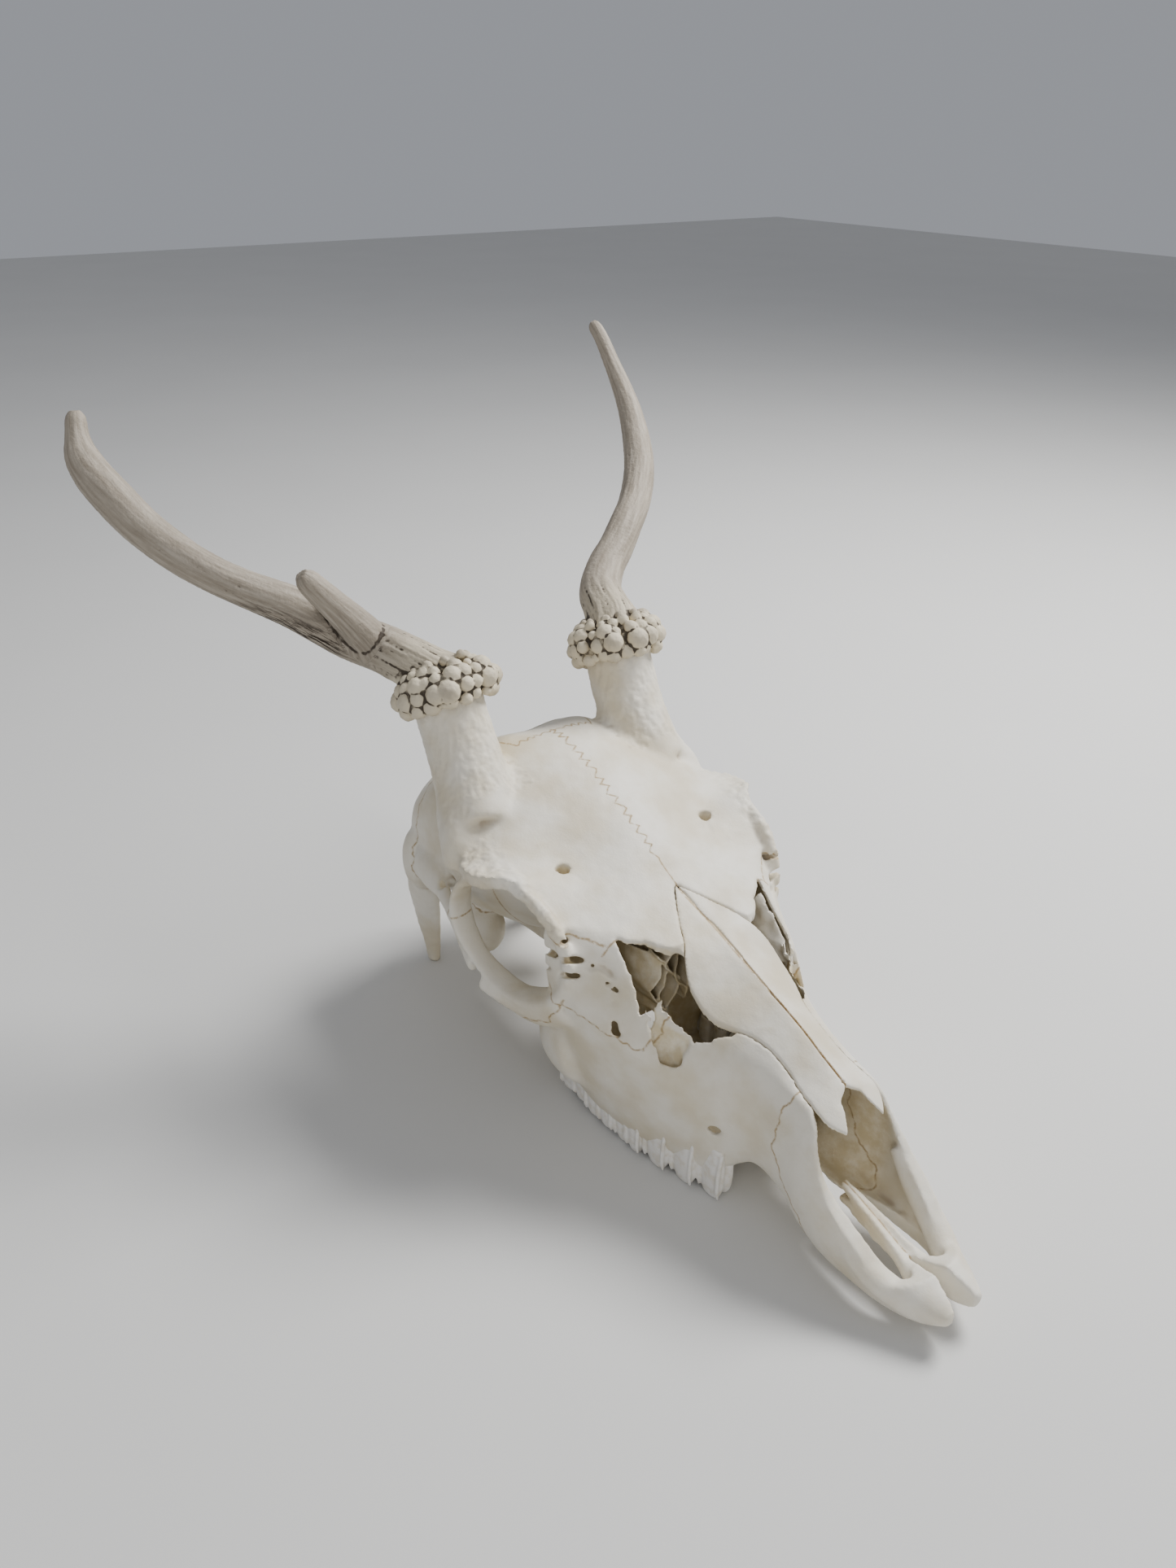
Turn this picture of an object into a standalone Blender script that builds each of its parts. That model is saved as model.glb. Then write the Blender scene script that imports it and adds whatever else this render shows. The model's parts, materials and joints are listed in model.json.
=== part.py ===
"""Upper skull of a young buck deer with both antlers, life size, lying as it would rest.

The skull is modelled whole from lofted and swept forms, fused by a voxel remesh, hollowed
with booleans, and then parted into its bones by thin cuts along the sutures.  Lengths below
are millimetres in the skull's own frame: X forward from the occipital condyles, Y to the
animal's left, Z up from the table.  at() turns them into metres about the footprint's middle.
"""
import math
import bpy
import bmesh
from mathutils import Matrix, Vector
from mathutils.bvhtree import BVHTree

NAME = "deer_skull"
MM = 0.001
FOOTPRINT_MIDDLE = Vector((91.0, -2.3, 0.0))   # middle of the bounding box's base

GAP = 0.3            # width of every parting cut
VOXEL = 1.25         # grain of the fused skull
SKULL_TRIANGLES = 2130
CAVITY_TRIANGLES = 340
TUBE_SIDES = 12

# Skull, all in millimetres -----------------------------------------------------------
NOSE_X = 268.0               # premaxilla tips
WALL = 2.3                   # thickness of the nasal cavity's walls
CAVITY_BACK_X = 119.0

# braincase stations: x, half width, top, bottom, squareness
BRAINCASE = [
    (-3, 22, 86, 54, 2.4), (0, 32, 91, 50, 2.4), (4, 36.5, 95.5, 46, 2.3), (10, 38.5, 100, 42, 2.5),
    (18, 39.5, 105.5, 40, 2.6), (32, 40, 112.5, 39, 2.5), (46, 39, 117.5, 40, 2.3),
    (60, 35.5, 119, 42, 2.3), (74, 30, 116, 46, 2.2), (88, 24, 110, 50, 2.2),
    (102, 21.5, 103, 51, 2.2), (119, 23, 93, 52, 2.4)]

# forehead plate stations: x, half width, height at the middle, half way out, at the rim, thickness
FOREHEAD = [(34, 30, 115.4, 116.2, 106, 9), (46, 36, 121, 120.8, 108, 9),
            (55, 40, 123.2, 119.6, 106, 9), (64, 46, 121.6, 117.0, 102, 9),
            (72, 54, 119.2, 113.4, 99.0, 8), (80, 60, 116.0, 109.8, 98.4, 7),
            (88, 62.6, 112.4, 106.0, 99.6, 6), (95, 61.6, 109.2, 102.8, 101.2, 6),
            (101, 58.5, 106.4, 100.2, 102.8, 6), (106, 54, 103.8, 98.4, 101.8, 6),
            (112, 52.4, 100.6, 96.4, 97.2, 5), (118, 50, 97.2, 93.8, 92.6, 4.5),
            (123, 46, 94.2, 91.8, 89.4, 4), (129, 39, 91.2, 90.2, 87.4, 3.6),
            (135, 32.5, 89.2, 88.2, 86.4, 3.2), (142, 27, 87.0, 86.6, 85.2, 3),
            (149, 23, 85.2, 84.8, 84.2, 3)]

# face stations: x, ridge, roof edge, upper wall, cheek, low wall, gum outside, gum inside, palate
FACE = [
    (115, 98.6, (27, 95.6), (46, 92), (48.5, 76), (45, 54), (35, 22), (24, 14), 19.0),
    (120, 95.6, (26, 93.2), (45, 88.5), (49, 74), (45.5, 53), (34.5, 20), (23, 13), 19.0),
    (127, 92.0, (24, 90.4), (41, 86.2), (48.8, 72), (45.5, 50), (34, 17), (22, 12), 18.5),
    (137, 88.6, (20, 87.0), (33.5, 84), (44.5, 66), (42, 44), (33, 15), (21, 11), 18.0),
    (150, 85.0, (17.5, 81.8), (33.5, 71), (40, 57), (37.5, 38), (31, 14), (19, 11), 17.5),
    (163, 80.6, (18.5, 71.5), (28.5, 62), (33.5, 49), (32.5, 33), (27, 13), (17, 11), 17.0),
    (176, 76.2, (15.5, 66.8), (22, 59), (26.5, 44), (26.5, 29), (23, 13), (14.5, 11.5), 16.5),
    (190, 71.2, (11.4, 64.6), (17, 58.5), (19.5, 44), (20, 31), (17.5, 22), (12.5, 18.5), 17.5),
    (203, 65.2, (11.6, 59.4), (15.2, 56.5), (18, 44), (18.6, 31), (16, 19), (11.5, 16), 17.5),
    (214, 60.2, (12.5, 55.8), (16.4, 51), (19.8, 38), (20.2, 26), (17.6, 13.4), (12.5, 11.8), 17.0),
    (225, 53.5, (13, 47), (17.8, 40), (20.8, 30), (20.8, 20), (17.8, 9.6), (12.5, 8.6), 16.2),
    (237, 41, (13, 36), (17.4, 29), (20, 22), (19.8, 15), (17, 7.8), (12, 7), 14.5),
    (248, 26, (9, 23.5), (14, 20.4), (17, 16), (17, 11.6), (15, 6.2), (10.8, 5.6), 12.0),
    (258, 19, (6.6, 18.4), (11, 16.6), (13.4, 13), (13.2, 9.6), (11.4, 5.4), (8, 5.2), 8.5),
    (264, 16.5, (6, 16), (9, 14.6), (10.6, 12.4), (10.4, 10.2), (9, 7.6), (6.6, 7), 8.0),
    (268, 14, (6.4, 13.8), (7.6, 13.2), (8.4, 12), (8.2, 10.8), (7.6, 9.6), (6.6, 9.2), 9.4)]

# the nasal opening's edge on the premaxilla, seen from the side
NOSTRIL_MARGIN = [(205.5, 62), (210.5, 57), (215, 52), (218, 45), (221.5, 39), (227, 32.5), (233, 28),
                  (239, 23.5), (245, 18.4), (251, 16.4), (258, 19.4), (276, 24)]

# left nasal bone from above: x, inner edge, outer edge
NASAL = [(127.2, 0.2, 0.6), (134, 0.2, 5.2), (141, 0.2, 9.6), (148, 0.2, 13.4), (152, 0.2, 16.4),
         (157, 0.2, 18.8), (163, 0.2, 19.2), (170, 0.2, 18), (176, 0.2, 15.2), (182, 0.2, 12.4),
         (189, 0.2, 11), (197, 0.2, 10.7), (205, 0.2, 11.8), (211, 0.2, 11.6), (215, 1.6, 10.9),
         (219, 5.6, 10), (222.5, 8.2, 8.9)]
NASAL_THICKNESS = 3.0         # straight down
NASAL_STEPS = 18
NASAL_SEAT_END = 216.0        # the seat in the other bones ends here, the tips stand free

# ethmoid vacuity of the left side, seen from above
VACUITY = [(134.5, 33), (137.5, 30.5), (140.5, 27), (143, 23.5), (152.4, 22.4), (151.8, 15.4),
           (160, 16), (168, 16), (177, 13.6), (177.5, 15.6), (173, 21), (166, 26.5), (161, 31.5),
           (156.5, 35), (152.5, 34.4), (145, 33.4)]
FISSURE = [(216, 3.4), (215.5, 8), (219, 10.4), (227, 12.2), (237, 13.2), (246, 13), (251, 11.2),
           (252.6, 8.6), (250.5, 6), (240, 3.6)]
SUPRAORBITAL = (104.4, 33.1, 2.4)       # x, y and radius of the hole above each eye
SNOUT_NOTCH = [(243, 0.3), (252, 2.0), (261, 5.0), (276, 8.0)]

# cheek teeth: x of the crown's middle, y, length, width, level of the worn face
TEETH = [(178, 20.2, 10.5, 8.5, -0.8), (167.2, 22.8, 11, 10, -0.8), (156, 25, 11, 11.5, -0.5),
         (143, 26.6, 13.6, 12.5, 0.3), (127.6, 27.2, 15.6, 13, 0.9), (111.4, 26.6, 16, 12.5, 1.8)]
TOOTH_TOP = 22.0

# sweeps of the left side: centre, thickness, depth
BASE = [((2, 0, 48), 9, 15), ((18, 0, 38), 8, 12), ((45, 0, 36), 7, 10), ((70, 0, 38), 7, 10),
        ((92, 0, 40), 7, 13), ((118, 0, 41), 7, 15)]
SOCKET_FLOOR = [((124, 42, 58), 9, 8), ((112, 44, 49), 7, 8), ((98, 48, 46.5), 4.5, 6),
                ((84, 53, 48.5), 3.5, 4.5)]
CHEEK_TUBER = [((122, 35, 33), 16, 11), ((110, 35, 31), 14, 9.5), ((100, 33, 30), 10, 6),
               ((95, 31, 29), 5, 3)]
CHEEK_ARCH = [((79, 54.5, 53), 4.2, 2.6), ((66, 51, 54.5), 3.8, 2.4), ((52, 47.4, 57), 3.6, 2.4),
              ((38, 44, 59), 4.4, 3.0), ((27, 41, 60), 7.5, 4.5), ((16, 38, 60), 8, 5)]
PARACONDYLAR = [((7, 34, 52), 9, 4.4), ((5, 33, 38), 8.6, 3.4), ((3.5, 31, 24), 7.0, 2.8),
                ((2.4, 29, 10), 4.6, 2.5), ((2, 28, -1), 2.8, 2.2)]
PALATINE = [((120, 13, 26), 12, 3.2), ((102, 13, 28), 12.5, 2.4), ((88, 12.5, 32), 10.5, 2.0),
            ((78, 12, 36), 6, 1.8)]
# egg shapes of the left side: centre, half sizes, turn about the vertical
MASTOID = ((9, 35, 58), (8, 8.5, 15), 0.0)
CONDYLE = ((-1, 14.5, 47), (8.5, 9, 12), -0.5)
BULLA = ((36, 23, 34), (12, 8.5, 10.5), 0.35)
# eye socket ring: centre, half length, half height, bar thickness, depth at the front and at the back
ORBIT_CENTRE, ORBIT_LONG, ORBIT_HIGH = (99.5, 50.8, 74.0), 29.0, 24.0
ORBIT_BAR, ORBIT_FRONT_DEPTH, ORBIT_BACK_DEPTH = 2.5, 2.3, 5.5

PEDICLE = [((62, 40, 102), 19, 15), ((57, 38.6, 112), 15.5, 14), ((50.5, 38.4, 124), 13.0, 13.4),
           ((45, 38.8, 135), 12.6, 13.0), ((38.5, 39.4, 150), 12.8, 12.8)]
PEDICLE_ROOT = [((52, 42, 122), 9, 8), ((60, 46.5, 107), 10, 8.5), ((68, 52.5, 99), 8.5, 7),
                ((71, 56.5, 90), 5, 4)]
BURR_CENTRE = (40.2, 39.0, 146.6)
BURR_AXIS = Vector((-0.42, 0.06, 0.90)).normalized()
BURR_RADIUS, BURR_SWELL, BURR_HEIGHT = 16.2, 1.6, 8.6
BURR_PEARLS = 13

# antler axes, y outward: centre, radius
BEAM_RIGHT = [((40.5, 39, 147.6), 12.0), ((36, 41.5, 149.8), 10.4), ((28.4, 45, 152.6), 9.4),
              ((17, 49.5, 155.2), 9.0), ((6.7, 58.5, 159.8), 9.0), ((2, 67.4, 165.9), 8.3),
              ((-3.5, 77, 172.2), 7.6), ((-12.4, 89.8, 179), 6.7), ((-19, 97.5, 183.6), 6.6),
              ((-27.5, 104.4, 188.8), 6.8), ((-40, 112.4, 197.4), 7.2), ((-51.4, 118, 206.6), 7.4),
              ((-60.5, 121.4, 213.6), 7.0), ((-66.4, 122.6, 219.8), 6.0), ((-70, 122, 226.2), 4.2),
              ((-72.6, 120.8, 231.6), 3.6), ((-73.4, 120.4, 234.2), 2.0)]
BEAM_LEFT = [((40.5, 39.5, 147.6), 12.0), ((35.5, 42, 151.5), 10.4), ((26, 45.2, 155), 9.0),
             ((16.5, 49.5, 158), 8.6), ((8, 58.5, 163.5), 7.8), ((3, 67.5, 169), 7.3),
             ((-3, 77.5, 176), 7.0), ((-13, 90.4, 182.5), 6.8), ((-26, 102.6, 191), 6.6),
             ((-38, 110.6, 199.5), 6.2), ((-50, 116.2, 209.6), 5.3), ((-61, 119.4, 219), 4.4),
             ((-70, 120.4, 228.6), 3.6), ((-78, 120.4, 238), 3.2), ((-83, 120.4, 242.4), 2.9),
             ((-84.6, 120.4, 243.8), 1.8)]
BROW_TINE = [((13.6, 53.5, 158.2), 7.6), ((14.2, 59.2, 165.6), 6.8), ((13.4, 66, 174), 5.6),
             ((12.3, 72.3, 181.4), 4.9), ((11.7, 75.9, 185.8), 4.2), ((11.4, 77.6, 188.2), 2.4)]
TINE_FORK = (13.0, 68.6, 177.0)          # where the thin cut parts the tine from its beam
TINE_FORK_RADIUS = 7.2
# a point in each piece of the right antler
RIGHT_ANTLER = {"antler_right_beam": (-40, -112, 197), "antler_right_brow_tine": (12, -75, 185)}


def at(x, y, z):
    """A point of the skull's frame in metres about the middle of the footprint."""
    return (Vector((x, y, z)) - FOOTPRINT_MIDDLE) * MM


def eased(rows, x):
    """The values at x on a smooth curve through rows of (x, value, value, ...)."""
    rows = [[row[0]] + [v for part in row[1:] for v in (part if isinstance(part, tuple) else (part,))]
            for row in rows]
    x = min(max(x, rows[0][0]), rows[-1][0])
    k = max(i for i in range(len(rows) - 1) if rows[i][0] <= x)
    a, b = rows[k], rows[k + 1]
    before, after = rows[max(k - 1, 0)], rows[min(k + 2, len(rows) - 1)]
    span = b[0] - a[0]
    t = (x - a[0]) / span
    values = []
    for i in range(1, len(a)):
        slope_a = (b[i] - before[i]) / (b[0] - before[0])
        slope_b = (after[i] - a[i]) / (after[0] - a[0])
        values.append((2*t**3 - 3*t**2 + 1) * a[i] + (t**3 - 2*t**2 + t) * span * slope_a
                      + (3*t**2 - 2*t**3) * b[i] + (t**3 - t**2) * span * slope_b)
    return values


def spline(points, per_span):
    """Points on a Catmull-Rom curve through points, per_span steps to each span."""
    points = [Vector(p) for p in points]
    ends = [2*points[0] - points[1]] + points + [2*points[-1] - points[-2]]
    curve = []
    for k in range(1, len(ends) - 2):
        a, b, c, d = ends[k - 1:k + 3]
        for j in range(per_span):
            t = j / per_span
            curve.append(0.5 * (2*b + (c - a)*t + (2*a - 5*b + 4*c - d)*t**2 + (3*b - a - 3*c + d)*t**3))
    return curve + [points[-1]]


def collection(name):
    group = bpy.data.collections.new(name)
    bpy.context.scene.collection.children.link(group)
    return group


def new_object(name, mesh_builder, group):
    """An object in group from a bmesh, with its normals turned outward."""
    bmesh.ops.recalc_face_normals(mesh_builder, faces=mesh_builder.faces[:])
    mesh = bpy.data.meshes.new(name)
    mesh_builder.to_mesh(mesh)
    mesh_builder.free()
    obj = bpy.data.objects.new(name, mesh)
    group.objects.link(obj)
    return obj


def add_loft(bm, rings):
    """Closed loft through rings of equal length, in metres, with flat ends."""
    rows = [[bm.verts.new(p) for p in ring] for ring in rings]
    count = len(rows[0])
    for low, high in zip(rows[:-1], rows[1:]):
        for k in range(count):
            n = (k + 1) % count
            bm.faces.new((low[k], low[n], high[n], high[k]))
    bm.faces.new(rows[0])
    bm.faces.new(rows[-1][::-1])


def oval(half_width, top, bottom, power, sides=36):
    """A superellipse in the YZ plane, as (y, z) pairs."""
    ring = []
    for k in range(sides):
        turn = 2 * math.pi * k / sides
        c, s = math.cos(turn), math.sin(turn)
        y = half_width * math.copysign(abs(c) ** (2 / power), c)
        z = (top + bottom) / 2 + (top - bottom) / 2 * math.copysign(abs(s) ** (2 / power), s)
        ring.append((y, z))
    return ring


def add_sweep(bm, stations, sides=14, flat_side=None, closed=False):
    """Tube along stations of (centre, radius) or (centre, radius a, radius b), mirrored by the caller.

    radius a lies across flat_side, radius b along it.
    """
    centres = [Vector(s[0]) for s in stations]
    rings = []
    side = None
    count = len(centres)
    for k, centre in enumerate(centres):
        if closed:
            along = centres[(k + 1) % count] - centres[k - 1]
        else:
            along = centres[min(k + 1, count - 1)] - centres[max(k - 1, 0)]
        along.normalize()
        if flat_side is not None:
            side = Vector(flat_side)
        elif side is None:
            side = Vector((0.3, 1.0, 0.2))
        side = (side - along * side.dot(along)).normalized()
        up = along.cross(side)
        ra = stations[k][1]
        rb = stations[k][2] if len(stations[k]) > 2 else ra
        rings.append([at(*(centre + up * ra * math.cos(a) + side * rb * math.sin(a)))
                      for a in (2 * math.pi * j / sides for j in range(sides))])
    if not closed:
        add_loft(bm, rings)
        return
    rows = [[bm.verts.new(p) for p in ring] for ring in rings]
    for low, high in zip(rows, rows[1:] + rows[:1]):
        for j in range(sides):
            n = (j + 1) % sides
            bm.faces.new((low[j], low[n], high[n], high[j]))


def smooth_stations(stations, per_span=3):
    """Stations with extra ones between them, read from a smooth curve."""
    widest = max(len(s) for s in stations)
    centres = spline([s[0] for s in stations], per_span)
    radii = [spline([(s[min(i, len(s) - 1)], 0, 0) for s in stations], per_span) for i in range(1, widest)]
    return [(c,) + tuple(r[k].x for r in radii) for k, c in enumerate(centres)]


def add_blob(bm, centre, radii, turn=0.0):
    """An ellipsoid, turned about the vertical."""
    x, y, z = (r * MM for r in radii)
    place = Matrix.Translation(at(*centre)) @ Matrix.Rotation(turn, 4, "Z") @ Matrix.Diagonal((x, y, z, 1))
    bmesh.ops.create_uvsphere(bm, u_segments=20, v_segments=12, radius=1.0, matrix=place)


def face_ring(x, inset=0.0, per_span=4):
    """Section of the face at x as 3-D points, moved in by inset."""
    z0, *rest, z7 = eased(FACE, x)
    half = [(0.0, z0)] + [(rest[i], rest[i + 1]) for i in range(0, len(rest), 2)] + [(0.0, z7)]
    curve = spline([(y, z, 0) for y, z in half], per_span)
    outline = [(max(p.x, 0.0), p.y) for p in curve]
    if inset:
        outline = inset_outline(outline, inset)
    left = [at(x, y, z) for y, z in outline]
    right = [at(x, -y, z) for y, z in outline[-2:0:-1]]
    return left + right


def inset_outline(outline, inset):
    """Half outline moved towards its inside, kept on the middle plane at both ends."""
    moved = []
    last = len(outline) - 1
    for k, (y, z) in enumerate(outline):
        a, b = outline[max(k - 1, 0)], outline[min(k + 1, last)]
        along = Vector((b[0] - a[0], b[1] - a[1])).normalized()
        if k == 0:
            along = Vector((1, 0))
        if k == last:
            along = Vector((-1, 0))
        moved.append((max(y + along.y * inset, 0.0), z - along.x * inset))
    return moved


def prism(group, name, outline, low, high, view="top"):
    """A solid from an outline of (x, y) seen from the top or (x, z) from the side."""
    bm = bmesh.new()
    if view == "top":
        rings = [[at(a, b, level) for a, b in outline] for level in (low, high)]
    else:
        rings = [[at(a, level, b) for a, b in outline] for level in (low, high)]
    add_loft(bm, rings)
    return new_object(name, bm, group)


def ribbon(points, width):
    """Outline of a band of the given width along points."""
    points = [Vector(p) for p in points]
    left, right = [], []
    for k, p in enumerate(points):
        along = points[min(k + 1, len(points) - 1)] - points[max(k - 1, 0)]
        across = Vector((-along.y, along.x)).normalized() * width / 2
        left.append(tuple(p + across))
        right.append(tuple(p - across))
    return left + right[::-1]


def add_forehead(bm):
    rings = []
    x = FOREHEAD[0][0]
    while x <= FOREHEAD[-1][0]:
        width, middle, dip, rim, thick = eased(FOREHEAD, x)
        top = spline([(-width, rim, 0), (-0.55 * width, dip, 0), (0, middle, 0), (0.55 * width, dip, 0),
                      (width, rim, 0)], 5)
        ring = [at(x, p.x, p.y) for p in top]
        ring += [at(x, p.x * 0.97, p.y - thick) for p in top[::-1]]
        rings.append(ring)
        x += 3
    add_loft(bm, rings)


def add_orbit_ring(bm, side):
    """The raised rim round the eye socket, closed at the back by the postorbital bar."""
    stations = []
    count = 36
    for k in range(count):
        turn = 2 * math.pi * k / count
        forward, up = math.cos(turn), math.sin(turn)
        x = ORBIT_CENTRE[0] + ORBIT_LONG * forward
        y = ORBIT_CENTRE[1] - 3.5 * forward + 2.0 * up
        z = ORBIT_CENTRE[2] + ORBIT_HIGH * up + 1.5 * forward
        thick = ORBIT_BAR + 0.4 * max(forward, 0.0) + 1.2 * max(-up, 0.0)
        backward = max(-forward, -up, 0.0)
        depth = ORBIT_FRONT_DEPTH + (ORBIT_BACK_DEPTH - ORBIT_FRONT_DEPTH) * backward
        stations.append(((x, side * y, z), thick, depth))
    add_sweep(bm, stations, TUBE_SIDES, flat_side=(0.2, side, 0.0), closed=True)


def on_side(stations, side):
    """Stations of the left side, mirrored for the right when side is -1."""
    return smooth_stations([((c[0], side * c[1], c[2]),) + tuple(radii) for c, *radii in stations])


def skull_forms(group):
    """All the forms of the skull together in one mesh, still overlapping."""
    bm = bmesh.new()
    add_loft(bm, [[at(x, y, z) for y, z in oval(*eased(BRAINCASE, x))] for x in steps_along(BRAINCASE, 30)])
    add_loft(bm, [face_ring(x) for x in steps_along(FACE, 44)])
    add_forehead(bm)
    flat = (0, 1, 0)
    add_sweep(bm, smooth_stations(BASE), flat_side=flat)
    for side in (1, -1):
        for stations in (PEDICLE, PEDICLE_ROOT):
            add_sweep(bm, on_side(stations, side), sides=18)
        for stations in (SOCKET_FLOOR, CHEEK_TUBER, CHEEK_ARCH, PALATINE):
            add_sweep(bm, on_side(stations, side), flat_side=flat)
        add_sweep(bm, on_side(PARACONDYLAR, side), flat_side=(0.3, side, 0))
        add_orbit_ring(bm, side)
        for (x, y, z), radii, turn in (MASTOID, CONDYLE, BULLA):
            add_blob(bm, (x, side * y, z), radii, side * turn)
        for x, y, length, width, level in TEETH:
            add_tooth(bm, x, side * y, length, width, level)
    return new_object("skull", bm, group)


def steps_along(stations, count):
    """Evenly spaced x from the first station to the last."""
    first, last = stations[0][0], stations[-1][0]
    return [first + (last - first) * k / count for k in range(count + 1)]


def add_tooth(bm, x, y, length, width, level):
    """A cheek tooth: a squarish crown, narrowest at its worn face."""
    rings = []
    for z, swell in ((TOOTH_TOP, 0.8), (12, 0.94), (level + 4.5, 1.0), (level + 1.4, 0.92), (level, 0.76)):
        rings.append([at(x + 0.5 * length * swell * math.copysign(abs(math.cos(a)) ** 0.6, math.cos(a)),
                         y + 0.5 * width * swell * math.copysign(abs(math.sin(a)) ** 0.6, math.sin(a)), z)
                      for a in (2 * math.pi * k / 16 for k in range(16))])
    add_loft(bm, rings)


def evaluated_mesh(obj):
    """Replace obj's mesh by its evaluated one and drop the modifiers."""
    depsgraph = bpy.context.evaluated_depsgraph_get()
    mesh = bpy.data.meshes.new_from_object(obj.evaluated_get(depsgraph))
    obj.modifiers.clear()
    obj.data = mesh
    return obj


def fuse(obj, voxel, triangles):
    """One closed skin over all the forms in obj, smoothed and thinned out."""
    remesh = obj.modifiers.new("fuse", "REMESH")
    remesh.mode = "VOXEL"
    remesh.voxel_size = voxel * MM
    smooth = obj.modifiers.new("smooth", "SMOOTH")
    smooth.factor = 0.5
    smooth.iterations = 3
    evaluated_mesh(obj)
    bm = bmesh.new()
    bm.from_mesh(obj.data)
    bmesh.ops.triangulate(bm, faces=bm.faces[:])
    bm.to_mesh(obj.data)
    bm.free()
    thin = obj.modifiers.new("thin", "DECIMATE")
    thin.ratio = triangles / len(obj.data.polygons)
    return evaluated_mesh(obj)


def cut(obj, cutter, operation="DIFFERENCE"):
    boolean = obj.modifiers.new(cutter.name, "BOOLEAN")
    boolean.operation = operation
    boolean.object = cutter
    return evaluated_mesh(obj)


def mirrored_outline(outline):
    return [(x, -y) for x, y in outline]


def burr_frame(side):
    """Centre and axis of the burr on the given side."""
    x, y, z = BURR_CENTRE
    return Vector((x, side * y, z)), Vector((BURR_AXIS.x, side * BURR_AXIS.y, BURR_AXIS.z))


def burr_block(group, name, side, upward):
    """A block from the burr's lower face upward or downward, the gap kept clear above."""
    centre, axis = burr_frame(side)
    face = centre - axis * (BURR_HEIGHT / 2 + (GAP if upward else 0.0))
    size = 60 * MM
    bm = bmesh.new()
    bmesh.ops.create_cube(bm, size=size)
    bmesh.ops.translate(bm, vec=(0, 0, size / 2 if upward else -size / 2), verts=bm.verts[:])
    turn = axis.to_track_quat("Z", "Y").to_matrix().to_4x4()
    bmesh.ops.transform(bm, matrix=Matrix.Translation(at(*face)) @ turn, verts=bm.verts[:])
    return new_object(name, bm, group)


def cavity_cutters(group):
    """Everything that hollows or opens the skull."""
    cutters = []
    bm = bmesh.new()
    steps = [CAVITY_BACK_X + k * (NOSE_X + 8 - CAVITY_BACK_X) / 26 for k in range(27)]
    rings = []
    for x in steps:
        ring = face_ring(min(x, 262.0), WALL, 2)
        rings.append([Vector((x * MM - FOOTPRINT_MIDDLE.x * MM, p.y, p.z)) for p in ring])
    add_loft(bm, rings)
    cutters.append(fuse(new_object("cut_nasal_cavity", bm, group), VOXEL, CAVITY_TRIANGLES))
    opening = NOSTRIL_MARGIN + [(276, 90), (205.5, 90)]
    cutters.append(prism(group, "cut_nostrils", opening, -40, 40, "side"))
    seat_steps = [x for x in steps_along(NASAL, NASAL_STEPS) if x < NASAL_SEAT_END]
    left_edge = [(x, eased(NASAL, x)[1] + GAP) for x in seat_steps]
    left_edge = [(NASAL[0][0] - GAP, left_edge[0][1])] + left_edge + [(NASAL_SEAT_END, left_edge[-1][1])]
    seat = left_edge + mirrored_outline(left_edge)[::-1]
    cutters.append(prism(group, "cut_nasal_seat", seat, 46, 110))
    cutters.append(prism(group, "cut_floor", [(-20, -70), (290, -70), (290, 70), (-20, 70)], -12, 0))
    notch = SNOUT_NOTCH + [(x, -y) for x, y in SNOUT_NOTCH[::-1]]
    cutters.append(prism(group, "cut_snout_notch", notch, -10, 60))
    cutters.append(prism(group, "cut_choana", [(70, -9), (126, -9), (126, 9), (70, 9)], 20.5, 32))
    for side, tag in ((1, "left"), (-1, "right")):
        def flip(outline):
            return outline if side > 0 else mirrored_outline(outline)[::-1]
        cutters.append(prism(group, "cut_vacuity_" + tag, flip(VACUITY), 50, 100))
        cutters.append(prism(group, "cut_fissure_" + tag, flip(FISSURE), -5, 26))
        cutters.append(burr_block(group, "cut_pedicle_top_" + tag, side, upward=True))
        x, y, radius = SUPRAORBITAL
        ring = [(x + radius * math.cos(a), side * y + radius * math.sin(a))
                for a in (2 * math.pi * k / 8 for k in range(8))]
        cutters.append(prism(group, "cut_supraorbital_" + tag, ring, 90, 120))
    bm = bmesh.new()
    bmesh.ops.create_cone(bm, cap_ends=True, segments=20, radius1=11 * MM, radius2=9 * MM, depth=40 * MM,
                          matrix=Matrix.Translation(at(0, 0, 62)) @ Matrix.Rotation(math.pi / 2, 4, "Y"))
    cutters.append(new_object("cut_foramen_magnum", bm, group))
    return cutters


# the bones that the skull is parted into, and a point inside each (left side where paired)
BONES = {"occipital": (3, 0, 75), "braincase": (30, 0, 80), "cranial_base": (50, 0, 37)}
PAIRED_BONES = {"frontal": (90, 20, 100), "lacrimal": (128, 46, 72), "zygomatic": (98, 53, 49),
                "maxilla": (150, 36, 40), "premaxilla": (235, 17, 20)}
FACE_BACK_X = 113.5           # where the face parts from the block between the eye sockets
BLOCK_LOW_Z = 44              # underside of that block and of the braincase
# the suture behind the frontals: its line beside the pedicles, and how far forward it runs between them
CORONAL = [(20, 136), (26, 113), (42, 92), (60, 72), (66, BLOCK_LOW_Z)]
CORONAL_SHIFT = 29.3
CORONAL_REACH = 48            # half width of its cut
CORONAL_ROWS, CORONAL_COLUMNS = 24, 40
SAW_OVERLAP = 0.8             # how far the midline's cut runs through the one behind the frontals
MIDLINE_FRONT = [(FACE_BACK_X, BLOCK_LOW_Z), (FACE_BACK_X, -10), (290, -10), (290, 136)]
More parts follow.
